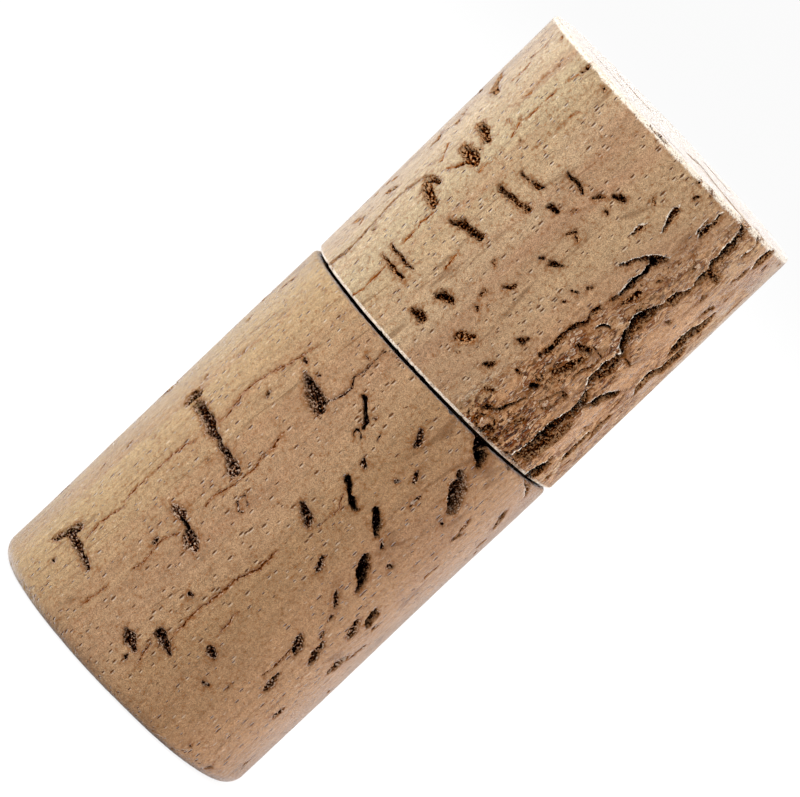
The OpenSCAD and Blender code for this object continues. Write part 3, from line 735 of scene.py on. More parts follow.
@dataclass
class CorkPiece:
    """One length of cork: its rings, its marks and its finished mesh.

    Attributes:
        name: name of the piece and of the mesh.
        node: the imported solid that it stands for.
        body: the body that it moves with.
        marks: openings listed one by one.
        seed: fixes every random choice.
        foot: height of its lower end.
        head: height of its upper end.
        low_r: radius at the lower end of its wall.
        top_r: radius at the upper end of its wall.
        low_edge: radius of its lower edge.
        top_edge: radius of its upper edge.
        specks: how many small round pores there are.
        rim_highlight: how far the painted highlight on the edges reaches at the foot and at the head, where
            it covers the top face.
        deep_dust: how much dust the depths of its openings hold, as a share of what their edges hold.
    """

    name: str
    node: str
    body: str
    marks: tuple[Mark, ...]
    seed: int
    foot: float
    head: float
    low_r: float
    top_r: float
    low_edge: float
    top_edge: float
    specks: int = 60
    rim_highlight: tuple[float, float] = (0.0, 0.0)
    deep_dust: float = 0.8

    # Distance from ring to ring and between a ring's points on the wall, and on the other faces
    STEP = 0.09 * COARSER
    GAP = 0.085 * COARSER
    FACE_STEP = 0.14
    LEAD_STEP = 0.2
    HIDDEN_STEP = 0.4
    # The export thins a piece that has more
    MOST_TRIANGLES = 190000 // COARSER
    # Lenticels on the side that the photograph doesn't show
    BACK_PITS = 24

    def outline(self) -> list[tuple[float, float, float]]:
        """Outline from the axis at the foot to the axis at the head."""
        raise NotImplementedError

    def wall_and_edges(self) -> list[tuple[float, float, float]]:
        """Outline of the outer wall, with both edges."""
        low, top = self.low_edge, self.top_edge
        return [
            *rounded((self.low_r - low, self.foot + low), low, -90, 0, self.STEP, self.GAP),
            *straight((self.low_r, self.foot + low), (self.top_r, self.head - top), self.STEP, self.GAP),
            *rounded((self.top_r - top, self.head - top), top, 0, 90, self.STEP, self.GAP),
        ]

    def weather(self, cork: CorkSurface) -> None:
        """Adds everything that opens, stains or roughens the surface."""
        for mark in self.marks:
            cork.open_mark(mark)
        self.open_back(cork)
        self.open_pores(cork)
        self.wear(cork)

    def open_back(self, cork: CorkSurface) -> None:
        """Opens lenticels round the side that the listed marks don't reach."""
        # Two steps that spread the places evenly round the back and up the wall
        golden, step, draw = 0.618, 0.755, cork.random
        for i in range(self.seed, self.seed + self.BACK_PITS):
            bearing = 95 + 180 * ((i * golden + draw.uniform(-0.07, 0.07)) % 1)
            share = (i * step + draw.uniform(-0.12, 0.12)) % 1
            height = self.foot + (0.08 + 0.84 * share) * (self.head - self.foot)
            edge_on = abs(math.sin(math.radians(bearing - LAYER_BEARING)))
            fill = (Fill.OPEN, Fill.DUST, Fill.BROWN)[i % 3]
            cork.open_mark(pit(bearing, height, 0.9 + 2.2 * edge_on, 0.4 + 0.5 * (i * 0.37 % 1),
                               20 * math.sin(97 * i), fill))

    def open_pores(self, cork: CorkSurface) -> None:
        """Scatters small round pores between the larger openings."""
        draw = cork.random
        for _ in range(self.specks):
            bearing, height = draw.uniform(-180, 180), draw.uniform(self.foot + 0.5, self.head - 0.6)
            width = draw.uniform(0.2, 0.42)
            path = ((bearing, height, width), (bearing + 0.8, height + draw.uniform(-0.3, 0.3), width * 0.7))
            cork.open_mark(Mark(path, width * 0.8, Fill.BROWN, 0.12))

    def wear(self, cork: CorkSurface) -> None:
        """Adds the slight waviness of the wall, the nicks along its edges, painted shade in the seam and
        painted highlights on the rims.
        """
        points = cork.surface.points
        outer = self.outer(points)
        # Painted shade in the seam: the outer 1.3 mm of the faces that meet there are opened and darkened to
        # black
        seam_shade = (outer < 0.9) & (np.hypot(points[:, 0], points[:, 1]) > self.low_r - 1.3)
        cork.open = np.where(seam_shade, 1.0, cork.open)
        cork.deep = np.where(seam_shade, 0.8, cork.deep)
        # Waves 6 to 9 mm long, grain 0.3 mm wide, and nicks of about 0.7 mm along the edges
        wavy = 0.04 * cork.noise.layered(points + 40, 6.0, 9.0, 2)
        grainy = 0.012 * cork.noise.layered(points + 70, 0.3, 0.9, 2)
        to_edge = np.minimum(points[:, 2] - self.foot, self.head - points[:, 2])
        radius = np.hypot(points[:, 0], points[:, 1])
        edge = smooth(0.7, 0.0, to_edge) * smooth(self.low_r - 1.0, self.low_r - 0.2, radius)
        nicks = 0.35 * edge * np.clip(cork.noise.layered(points + 20, 0.7, 0.7, 2) - 0.35, 0, 1)
        cork.depth = cork.depth + (0.02 + wavy + grainy) * outer + nicks
        # Painted highlight: the head's edge and top face are painted pale, and the foot's edge less so
        low, high = self.rim_highlight
        rim = smooth(high, 0.4 * high, self.head - points[:, 2]) if high else 0
        highlight = smooth(low, 0.4 * low, points[:, 2] - self.foot) * (radius > self.low_r - 1.5) if low else 0
        rim = rim * (1 - 0.2 * smooth(self.low_r - 0.5, self.low_r - 1.0, radius))
        cork.pale = np.maximum(cork.pale, np.maximum(rim, 0.8 * highlight))

    def outer(self, points: np.ndarray) -> np.ndarray:
        """Tells the outer surfaces, as 1, from the turned fit between the two lengths, as 0."""
        raise NotImplementedError

    def build(self, finishes: tuple[bpy.types.Material, ...],
              dry: bpy.types.Material) -> bpy.types.Object:
        """Makes the finished mesh and its dust, and ties them to the frame.

        Args:
            finishes: the materials of the outside, of openings and the turned fit, and of the bark side.
            dry: the dust's material.

        Returns:
            The cork's object.
        """
        cork = CorkSurface(TurnedSurface(self.outline()), self.low_r, self.seed)
        self.weather(cork)
        points = cork.surface.points - cork.surface.normals * cork.depth[:, None]
        points = self.settle(points)
        outer = self.outer(cork.surface.points)
        layers = {"open": cork.open, "deep": cork.deep, "fill": cork.fill, "stain": cork.stain,
                  "pale": cork.pale, "rough": cork.rough}
        inner = (outer < 0.5) | (cork.open > -0.35)
        finish_of = np.where(inner, 1, np.where(cork.rough > 0.4, 2, 0))
        dense = make_mesh(self.name, points * MM, cork.surface.triangles(), layers, finish_of)
        for finish in finishes:
            dense.data.materials.append(finish)
        piece = thin(dense, self.MOST_TRIANGLES)
        dust = LenticelDust(self.name + "_dust", self.seed, self.deep_dust).grow(piece, dry)
        for made in (piece, dust):
            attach(made, self.body)
        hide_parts(self.node)
        LOG.info("%s: %d triangles, %d of dust", self.name, len(piece.data.polygons),
                 len(dust.data.polygons))
        return piece

    def settle(self, points: np.ndarray) -> np.ndarray:
        """Leaves the points where they are, unless a piece lies out of line."""
        return points


@dataclass
class CorkBody(CorkPiece):
    """The lower length, with its turned spigot.

    Attributes:
        spigot_r: radius of the spigot.
        spigot_top: height of the spigot's end.
        lead_in: chamfer at the spigot's end.
    """

    spigot_r: float = 6.0
    spigot_top: float = 41.6
    lead_in: float = 0.6

    def outline(self) -> list[tuple[float, float, float]]:
        """Base, wall, shoulder and spigot."""
        face, hidden = self.FACE_STEP, self.HIDDEN_STEP
        return [
            *straight((0, self.foot), (self.low_r - self.low_edge, self.foot), face, face),
            *self.wall_and_edges(),
            *straight((self.top_r - self.top_edge, self.head), (self.spigot_r, self.head), hidden, hidden),
            *straight((self.spigot_r, self.head), (self.spigot_r, self.spigot_top - self.lead_in),
                      hidden, hidden),
            *straight((self.spigot_r, self.spigot_top - self.lead_in),
                      (self.spigot_r - self.lead_in, self.spigot_top), self.LEAD_STEP, hidden),
            *straight((self.spigot_r - self.lead_in, self.spigot_top), (0, self.spigot_top), hidden, hidden),
            (0, self.spigot_top, hidden),
        ]

    def outer(self, points: np.ndarray) -> np.ndarray:
        """All but the shoulder and the spigot."""
        radius = np.hypot(points[:, 0], points[:, 1])
        above = smooth(self.top_r - 1.2, self.top_r - 0.5, radius)
        return np.where(points[:, 2] > self.head - 0.02, above, 1.0)


@dataclass
class CorkCap(CorkPiece):
    """The upper length, bored to sit on the spigot.

    Attributes:
        socket_r: radius of the socket.
        socket_top: height of the socket's end.
        lead_in: chamfer at the socket's mouth.
        out_of_line: how far the wall's foot lies to the right of the socket; its head leans back.
    """

    socket_r: float = 6.05
    socket_top: float = 41.6
    lead_in: float = 0.6
    out_of_line: float = 0.1

    def outline(self) -> list[tuple[float, float, float]]:
        """Socket, lower face, wall and top face."""
        face, hidden = self.FACE_STEP, self.HIDDEN_STEP
        mouth = self.socket_r + self.lead_in
        return [
            *straight((0, self.socket_top), (self.socket_r, self.socket_top), hidden, hidden),
            *straight((self.socket_r, self.socket_top), (self.socket_r, self.foot + self.lead_in),
                      hidden, hidden),
            *straight((self.socket_r, self.foot + self.lead_in), (mouth, self.foot), self.LEAD_STEP, hidden),
            *straight((mouth, self.foot), (self.low_r - self.low_edge, self.foot), hidden, hidden),
            *self.wall_and_edges(),
            *straight((self.top_r - self.top_edge, self.head), (0, self.head), face, face),
            (0, self.head, face),
        ]

    def outer(self, points: np.ndarray) -> np.ndarray:
        """All but the lower face and the socket."""
        radius = np.hypot(points[:, 0], points[:, 1])
        below = smooth(self.low_r - 1.2, self.low_r - 0.5, radius)
        return np.where(points[:, 2] < self.socket_top + 0.2, below, 1.0)

    def weather(self, cork: CorkSurface) -> None:
        """Adds the rough face and the top face's crack to what every piece has."""
        self.open_top(cork)
        self.roughen(cork)
        super().weather(cork)

    def open_top(self, cork: CorkSurface) -> None:
        """Runs the widest crack in over the top face, with lenticels that follow the layers' bearing."""
        top = self.head
        points = cork.surface.points
        near = np.nonzero(points[:, 2] > top - 0.7)[0]
        routes = [
            ([(8.3, -9.2, 0.9), (6.9, -6.9, 0.6), (5.2, -4.5, 0.45), (4.5, -3.7, 0.4), (3.4, -1.0, 0.3),
              (2.3, 1.6, 0.15)], 1.3),
            ([(9.6, -7.4, 0.3), (8.8, -5.6, 0.2), (8.9, -4.0, 0.1)], 0.5),
            ([(-1.7, -9.5, 0.25), (0.0, -9.9, 0.4), (1.4, -9.7, 0.2)], 0.6),
            ([(1.8, -2.6, 0.5), (2.2, -1.2, 0.8), (2.9, 0.2, 0.5)], 0.5),
            ([(-6.0, 5.0, 0.3), (-4.2, 3.6, 0.5), (-2.4, 2.4, 0.3)], 0.6),
            ([(3.0, 7.4, 0.3), (4.6, 6.2, 0.6), (5.6, 5.4, 0.3)], 0.7),
            ([(-8.6, -1.2, 0.2), (-6.4, -2.8, 0.35), (-5.2, -3.8, 0.2)], 0.4),
        ]
        for stops, depth in routes:
            route = np.array([(x, y, top, w) for x, y, w in stops])
            cork.carve(near, route, Mark(((0, 0, 0),), depth, Fill.DUST, 0.2))

    def roughen(self, cork: CorkSurface) -> None:
        """Breaks up the face that lay nearest the bark into ragged slivers along the grain."""
        points = cork.surface.points
        bearing = np.degrees(np.arctan2(points[:, 0], -points[:, 1]))
        share = (points[:, 2] - self.foot) / (self.head - self.foot)
        # The rough face starts at bearing 8 at the foot and 30 at the head, and fades out by 125
        start = 8 + 22 * share
        rough = smooth(0, 12, bearing - start) * smooth(125, 95, bearing) * (1 - 0.45 * share)
        rough = rough * (1 - 0.35 * smooth(46, 60, bearing))
        rough = rough * smooth(-0.8, 0.0, cork.noise.layered(points + 9, 2.5, 5.0, 2)) * self.outer(points)
        ragged = points + cork.warp * 2.0
        # Slivers 0.9 mm wide and 2.2 mm long, with splits between them and flakes on them
        ridge = abs(cork.noise.layered(ragged + 200, 0.9, 2.2, 2))
        split = smooth(0.04, 0.01, ridge) * rough
        split = split * smooth(-0.15, 0.15, cork.noise.layered(points + 300, 1.5, 2.4, 1))
        flake = smooth(0.2, 0.5, cork.noise.layered(ragged + 400, 0.9, 2.2, 2)) * rough
        cork.depth = np.maximum(cork.depth, 0.1 * split)
        opened = split * 1.6 - 0.6
        newer = opened > cork.open
        cork.fill = np.where(newer, Fill.DUST.value, cork.fill)
        cork.deep = np.where(newer, split, cork.deep)
        cork.open = np.maximum(cork.open, opened)
        cork.stain = np.clip(np.maximum(cork.stain, 0.9 * split + 0.1 * flake), 0, 1)
        cork.rough = rough

    def settle(self, points: np.ndarray) -> np.ndarray:
        """Shifts the outer wall out of line with the socket."""
        radius = np.hypot(points[:, 0], points[:, 1])
        share = smooth(self.socket_r + self.lead_in + 0.5, self.low_r - 1.0, radius)
        share = np.where(points[:, 2] > self.socket_top + 0.2, 1.0, share)
        rise = (points[:, 2] - self.foot) / (self.head - self.foot)
        return points + np.outer(self.out_of_line * (1 - 2.3 * rise) * share, [1, 0, 0])


def make_mesh(name: str, points: np.ndarray, triangles: np.ndarray, layers: dict[str, np.ndarray],
              finish: np.ndarray) -> bpy.types.Object:
    """Makes a smooth-shaded mesh object with a number for each point in each layer.

    Args:
        name: name of the object.
        points: positions in metres.
        triangles: three indices for each face.
        layers: the point layers, by name.
        finish: number of the material at each point.

    Returns:
        The object, linked to the scene.
    """
    mesh = bpy.data.meshes.new(name)
    mesh.vertices.add(len(points))
    mesh.vertices.foreach_set("co", points.astype(np.float32).ravel())
    mesh.loops.add(triangles.size)
    mesh.loops.foreach_set("vertex_index", triangles.astype(np.int32).ravel())
    mesh.polygons.add(len(triangles))
    mesh.polygons.foreach_set("loop_start", np.arange(0, triangles.size, 3, dtype=np.int32))
    mesh.polygons.foreach_set("use_smooth", np.ones(len(triangles), bool))
    mesh.polygons.foreach_set("material_index", finish[triangles].min(axis=1).astype(np.int32))
    for layer, values in layers.items():
        mesh.attributes.new(layer, "FLOAT", "POINT").data.foreach_set("value", values.astype(np.float32))
    mesh.update(calc_edges=True)
    mesh.validate()
    return placed(name, mesh)


def placed(name: str, data: bpy.types.ID) -> bpy.types.Object:
    """Puts a mesh, lamp or camera in the scene, at the origin.

    Args:
        name: name of the object.
        data: the mesh, lamp or camera.

    Returns:
        The object.
    """
    made = bpy.data.objects.new(name, data)
    bpy.context.scene.collection.objects.link(made)
    return made


def settle_modifiers(piece: bpy.types.Object) -> bpy.types.Object:
    """Turns an object's live modifiers into a plain mesh.

    Args:
        piece: the object.

    Returns:
        The same object, with the mesh that its modifiers made.
    """
    graph = bpy.context.evaluated_depsgraph_get()
    mesh = bpy.data.meshes.new_from_object(piece.evaluated_get(graph), depsgraph=graph)
    piece.modifiers.clear()
    piece.data = mesh
    return piece


def thin(dense: bpy.types.Object, most: int) -> bpy.types.Object:
    """Thins a mesh where it is smooth, to this many triangles at most."""
    dense.modifiers.new("thin", "DECIMATE").ratio = min(1.0, most / len(dense.data.polygons))
    return settle_modifiers(dense)


def linear(hex_colour: str) -> tuple[float, float, float, float]:
    """Turns an sRGB hex colour into linear light."""
    parts = [int(hex_colour[i:i + 2], 16) / 255 for i in (1, 3, 5)]
    return (*[p / 12.92 if p <= 0.04045 else ((p + 0.055) / 1.055) ** 2.4 for p in parts], 1.0)


def add_node(tree: bpy.types.NodeTree, kind: str, takes: dict | tuple = (),
             **settings: object) -> bpy.types.Node:
    """Adds a node.

    Args:
        tree: the tree that it goes in.
        kind: its type.
        takes: what its inputs take, in their order, or by name or number: a value, a hex colour, a
            socket, or a node, which gives its first output.
        settings: values for its properties, and the stops of a colour ramp.

    Returns:
        The node.
    """
    node = tree.nodes.new(kind)
    for stop, (place, colour) in enumerate(settings.pop("stops", ())):
        if stop > 1:
            node.color_ramp.elements.new(place)
        node.color_ramp.elements[stop].position = place
        node.color_ramp.elements[stop].color = linear(colour)
    for key, value in settings.items():
        setattr(node, key, value)
    for key, value in takes.items() if isinstance(takes, dict) else enumerate(takes):
        source = value.outputs[0] if isinstance(value, bpy.types.Node) else value
        if isinstance(source, bpy.types.NodeSocket):
            tree.links.new(source, node.inputs[key])
        else:
            is_colour = isinstance(source, str) and source.startswith("#")
            node.inputs[key].default_value = linear(source) if is_colour else source
    return node


@dataclass
class LenticelDust:
    """Dark grains that cling inside the lenticels and cracks.

    Attributes:
        name: name of the piece.
        seed: fixes where the grains lie.
        deep: density in the depths, as a share of the density near the edges.
        grain: radius of the largest grains, before each is squashed to its own size.
        density: grains on each square millimetre of an opening.
    """

    name: str
    seed: int
    deep: float
    grain: float = 0.085
    density: float = 22.0

    SQUASHED = ((0.25,) * 3, (0.8,) * 3)
    FULL_TURN = 6.3

    def tree(self) -> bpy.types.NodeTree:
        """Scatters small lumps where the surface is open."""
        tree = bpy.data.node_groups.new(self.name, "GeometryNodeTree")
        add = partial(add_node, tree)
        for name, kind in (("Geometry", "Geometry"), ("Density", "Float"), ("Deep", "Float"),
                           ("Grain", "Float"), ("Seed", "Int"), ("Material", "Material")):
            tree.interface.new_socket(name, in_out="INPUT", socket_type="NodeSocket" + kind)
        tree.interface.new_socket("Geometry", in_out="OUTPUT", socket_type="NodeSocketGeometry")
        given = add("NodeGroupInput").outputs
        opened = add("GeometryNodeInputNamedAttribute", {"Name": "open"})
        depth = add("GeometryNodeInputNamedAttribute", {"Name": "deep"})
        open_part = add("ShaderNodeMapRange", (opened, 0.15, 0.6))
        hold = add("ShaderNodeMapRange", (depth, 0.3, 0.7, 1.0, given["Deep"]))
        share = add("ShaderNodeMath", (open_part, hold), operation="MULTIPLY")
        share = add("ShaderNodeMath", (share, given["Density"]), operation="MULTIPLY")
        spread = add("GeometryNodeDistributePointsOnFaces",
                     {"Mesh": given["Geometry"], "Density": share, "Seed": given["Seed"]})
        lump = add("GeometryNodeMeshIcoSphere", {"Radius": given["Grain"], "Subdivisions": 1})
        size, turn = [add("FunctionNodeRandomValue", {0: low, 1: high, "Seed": given["Seed"]},
                          data_type="FLOAT_VECTOR")
                      for low, high in (self.SQUASHED, ((0.0,) * 3, (self.FULL_TURN,) * 3))]
        rotation = add("FunctionNodeEulerToRotation", {"Euler": turn})
        grains = add("GeometryNodeInstanceOnPoints",
                     {"Points": spread, "Instance": lump, "Rotation": rotation, "Scale": size})
        solid = add("GeometryNodeRealizeInstances", {"Geometry": grains})
        dressed = add("GeometryNodeSetMaterial", {"Geometry": solid, "Material": given["Material"]})
        add("NodeGroupOutput", {"Geometry": dressed})
        return tree

    def grow(self, piece: bpy.types.Object, finish: bpy.types.Material) -> bpy.types.Object:
        """Grows the dust on a finished piece.

        Args:
            piece: the cork, with its open and deep layers.
            finish: the dust's material.

        Returns:
            The dust's object.
        """
        host = placed(self.name, piece.data.copy())
        modifier = host.modifiers.new("dust", "NODES")
        modifier.node_group = self.tree()
        values = {"Density": self.density / MM ** 2, "Deep": self.deep, "Grain": self.grain * MM,
                  "Seed": self.seed, "Material": finish}
        for item in modifier.node_group.interface.items_tree:
            if item.in_out == "INPUT" and item.name in values:
                modifier[item.identifier] = values[item.name]
        return settle_modifiers(host)


class Pattern:
    """Patterns sized in millimetres for a material's tree.

    Attributes:
        add: adds a node to the tree.
        shift: moves every pattern, in metres.
        place: the object coordinates.
    """

    def __init__(self, tree: bpy.types.NodeTree, shift: float) -> None:
        """Empties the tree and starts from the object coordinates.

        Args:
            tree: the material's tree.
            shift: moves every pattern, in metres.
        """
        tree.nodes.clear()
        self.add = partial(add_node, tree)
        self.shift = shift
        self.place = self.add("ShaderNodeTexCoord").outputs["Object"]

    def spot(self, size: tuple[float, ...], turned: bool = False, beside: float = 0.0) -> bpy.types.Node:
        """Coordinates in which one unit is this large.

        Args:
            size: in millimetres, along X, Y and Z, or across, along and up the growth layers.
            turned: whether X faces across the growth layers and leans with the grain.
            beside: moves the pattern towards +X, in millimetres.

        Returns:
            The coordinates.
        """
        turn = (0, math.atan(GRAIN_LEAN), math.radians(LAYER_BEARING - 90)) if turned else (0, 0, 0)
        return self.add("ShaderNodeMapping", {
            "Vector": self.place, "Location": (self.shift + beside * MM, self.shift, self.shift),
            "Rotation": turn, "Scale": tuple(s * MM for s in size)}, vector_type="TEXTURE")

    def years(self) -> bpy.types.Node:
        """Place in the cork's growth, from 0 on its oldest side to 1 on the side that faced the bark."""
        bearing, reach = math.radians(LAYER_BEARING), 2 * WALL * MM
        towards = (math.sin(bearing) / reach, -math.cos(bearing) / reach, 0)
        along = self.add("ShaderNodeVectorMath", (self.place, towards), operation="DOT_PRODUCT")
        return self.add("ShaderNodeMath", (along.outputs["Value"], 0.5), operation="ADD")

    def mottle(self, size: tuple[float, ...], detail: float = 2.0, rough: float = 0.6,
               turned: bool = False) -> bpy.types.Node:
        """Uneven tone, about 0.5 on average.

        Args:
            size: in millimetres, across and along the grain, or across, along and up the growth layers.
            detail: how many finer tones it holds.
            rough: how strong they are.
            turned: whether it follows the growth layers.

        Returns:
            The tone.
        """
        place = self.spot(size if turned else (size[0], *size), turned)
        return self.add("ShaderNodeTexNoise",
                        {"Vector": place, "Scale": 1.0, "Detail": detail, "Roughness": rough})

    def dashes(self, often: bpy.types.Node, beside: float) -> bpy.types.Node:
        """Scatters short dashes along the grain.

        Args:
            often: the share of places that hold a dash.
            beside: moves the dashes towards +X, in millimetres.

        Returns:
            1 on a dash and 0 elsewhere.
        """
        torn = self.add("ShaderNodeTexVoronoi",
                        {"Vector": self.spot((0.3, 0.3, 0.9), beside=beside), "Scale": 1.0})
        chance = self.add("ShaderNodeSeparateColor", {"Color": torn.outputs["Color"]}).outputs
        picked = self.add("ShaderNodeMath", (chance[0], often), operation="LESS_THAN")
        length = self.add("ShaderNodeMapRange", (chance[1], 0.0, 1.0, 0.75, 1.7))
        away = self.add("ShaderNodeMath", (torn, length), operation="MULTIPLY")
        within = self.add("ShaderNodeMapRange", (away, 0.25, 0.15))
        return self.add("ShaderNodeMath", (within, picked), operation="MULTIPLY")


@dataclass(frozen=True)
class CorkFinish:
    """Natural cork, punched along the grain and ground: matt, pale at grazing angles, streaked.

    Attributes:
        years: colours of the growth, by place from its oldest side, at 0, to the bark, at 1.
        shade: darker, older growth.
        crumbs: what openings hold, from dark to pale.
        shift: moves the patterns, in metres.
    """

    years: tuple[tuple[float, str], ...] = (
        (0.25, "#A98F68"), (0.55, "#A28564"), (0.72, "#9F7E60"), (0.84, "#A68564"), (0.91, "#9C7A58"),
        (1.0, "#A7815F"))
    shade: str = "#946E52"
    crumbs: tuple[str, ...] = ("#3C1402", "#70401A", "#9A7052", "#C8B29E")
    shift: float = 0.0

    # Edges of the yearly layers and torn cells
    LINE = "#55300F"
    # Stained cork round openings
    RUST = "#784414"
    # Painted highlight on the lit side of dashes, veins and cracks, and on the cap's rims and top face
    HIGHLIGHT = "#FAEFDE"
    # Torn veins, freckles and bark fragments of the bark side
    VEIN = "#642B00"
    FRECKLE = "#753600"
    BARK = "#2C0C01"
    # Painted shade in the empty depths of openings
    DEPTH_SHADE = "#040000"

    def material(self, name: str, sheen: float = 1.0) -> bpy.types.Material:
        """Builds the material.

        Args:
            name: its name.
            sheen: how much its torn cells catch the light at grazing angles.

        Returns:
            The material.
        """
        made = bpy.data.materials.new(name)
        made.use_nodes = True
        pattern = Pattern(made.node_tree, self.shift)
        add = pattern.add
        # Cork cells are 0.04 mm; their grit is drawn at 0.06 mm so that it shows
        grit = pattern.mottle((0.06, 0.1), 1.0)
        colour, relief = self.sound_cork(pattern, grit)
        colour, relief = self.bark_side(pattern, colour, relief, grit)
        colour = self.openings(pattern, colour, grit)
        gritty = add("ShaderNodeMath", (grit, 0.7), operation="MULTIPLY")
        height = add("ShaderNodeMath", (relief, gritty), operation="ADD")
        bump = add("ShaderNodeBump", {"Strength": 1.0, "Distance": 0.075 * MM, "Height": height})
        shader = add("ShaderNodeBsdfPrincipled", {
            "Base Color": colour, "Normal": bump, "Roughness": 0.9, "IOR": 1.45,
            "Specular IOR Level": 0.15 * sheen, "Sheen Weight": sheen, "Sheen Roughness": 0.27,
            "Sheen Tint": "#F8F8FF"})
        add("ShaderNodeOutputMaterial", {"Surface": shader})
        return made

    def sound_cork(self, pattern: Pattern,
                   grit: bpy.types.Node) -> tuple[bpy.types.NodeSocket, bpy.types.Node]:
        """Colours the sound cork.

        Args:
            pattern: the material's patterns.
            grit: the fine grit of its cells.

        Returns:
            The colour and the height of the fine relief.
        """
        add = pattern.add
        # The growth's own colours, drifting over 7 mm across and 26 mm along the grain, and layers
        # about 1.5 mm apart
        drift = add("ShaderNodeMath", (pattern.mottle((7, 26), 3.0), 0.5), operation="SUBTRACT")
        drift = add("ShaderNodeMath", (drift, 0.3), operation="MULTIPLY")
        year = add("ShaderNodeMath", (pattern.years(), drift), operation="ADD")
        base = add("ShaderNodeValToRGB", (year,), stops=self.years)
        bands = pattern.mottle((1.5, 9, 24), 3.0, 0.5, True)
        bands = add("ShaderNodeMapRange", (bands, 0.5, 0.72, 0.0, 0.55))
        base = add("ShaderNodeMix", {0: bands, 6: base, 7: self.shade}, data_type="RGBA").outputs[2]
        # Streaks 0.35 mm wide and 3.2 mm long, and the grit
        streaks = pattern.mottle((0.35, 3.2), 3.0)
        streaky = add("ShaderNodeMapRange", (streaks, 0.3, 0.7, 0.88, 1.12))
        gritty = add("ShaderNodeMapRange", (grit, 0.35, 0.65, 0.6, 1.42))
        tone = add("ShaderNodeMath", (streaky, gritty), operation="MULTIPLY")
        base = add("ShaderNodeVectorMath", {0: base, "Scale": tone}, operation="SCALE")
        # Edges of the layers: thin wandering lines, broken every few millimetres
        edge = pattern.mottle((3.4, 15, 46), 3.0, 0.5, True)
        edge = add("ShaderNodeMath", (edge, 0.5), operation="SUBTRACT")
        edge = add("ShaderNodeMath", (edge,), operation="ABSOLUTE")
        edge = add("ShaderNodeMapRange", (edge, 0.011, 0.003))
        broken = add("ShaderNodeMapRange", (pattern.mottle((1.1, 3.5)), 0.46, 0.56))
        edge = add("ShaderNodeMath", (edge, broken), operation="MULTIPLY")
        edge = add("ShaderNodeMath", (edge, 0.45), operation="MULTIPLY")
        # Torn cells in short dashes along the grain, 0.13 mm wide, in patches, each with a painted highlight
        # on its +X side
        often = add("ShaderNodeMapRange", (pattern.mottle((3.5, 6.0)), 0.35, 0.65, 0.35, 0.85))
        dash, highlight = pattern.dashes(often, 0.0), pattern.dashes(often, 0.1)
        pale = add("ShaderNodeMath", (highlight, 0.22), operation="MULTIPLY")
        base = add("ShaderNodeMix", {0: pale, 6: base, 7: self.HIGHLIGHT}, data_type="RGBA").outputs[2]
        torn = add("ShaderNodeMath", (dash, 0.95), operation="MULTIPLY")
        marked = add("ShaderNodeMath", (edge, torn), operation="MAXIMUM")
        colour = add("ShaderNodeMix", {0: marked, 6: base, 7: self.LINE}, data_type="RGBA").outputs[2]
        shallow = add("ShaderNodeMath", (edge, 0.5), operation="MULTIPLY")
        sunk = add("ShaderNodeMath", (shallow, dash), operation="ADD")
        raised = add("ShaderNodeMath", (streaks, 0.7), operation="MULTIPLY")
        return colour, add("ShaderNodeMath", (raised, sunk), operation="SUBTRACT")

    def bark_side(self, pattern: Pattern, colour: bpy.types.NodeSocket, relief: bpy.types.Node,
                  grit: bpy.types.Node) -> tuple[bpy.types.NodeSocket, bpy.types.Node]:
        """Mottles and tears the side that lay nearest the bark.

        Args:
            pattern: the material's patterns.
            colour: the sound cork's colour.
            relief: the sound cork's fine relief.
            grit: the fine grit of its cells.

        Returns:
            The colour and the height of the fine relief.
        """
        add = pattern.add
        rough = add("ShaderNodeAttribute", attribute_name="rough").outputs["Fac"]
        grain = add("ShaderNodeMath", (grit, 0.3), operation="MULTIPLY")
        # Rust-brown patches 0.9 mm across and 1.6 mm long, with crumbled edges
        patch = add("ShaderNodeMath", (pattern.mottle((0.9, 1.6), 4.0, 0.7), grain), operation="ADD")
        patch = add("ShaderNodeMapRange", (patch, 0.66, 0.7, 0.0, 0.4))
        # Torn veins that wander along the grain 0.5 mm apart and 0.1 mm wide, each with a painted highlight
        # along one side
        broken = add("ShaderNodeMapRange", (pattern.mottle((0.8, 1.6)), 0.43, 0.49))
        broken = add("ShaderNodeMath", (broken, rough), operation="MULTIPLY")
        field = pattern.mottle((0.55, 1.3))
        bands = []
        for middle, outer, inner in ((0.5, 0.041, 0.029), (0.565, 0.025, 0.015)):
            band = add("ShaderNodeMath", (field, middle), operation="SUBTRACT")
            band = add("ShaderNodeMath", (band,), operation="ABSOLUTE")
            band = add("ShaderNodeMapRange", (band, outer, inner))
            bands.append(add("ShaderNodeMath", (band, broken), operation="MULTIPLY"))
        vein, side = bands
        # Freckles of torn, rust-brown cells, 0.15 mm
        freckle = add("ShaderNodeMapRange", (pattern.mottle((0.2, 0.28)), 0.605, 0.64, 0.0, 0.85))
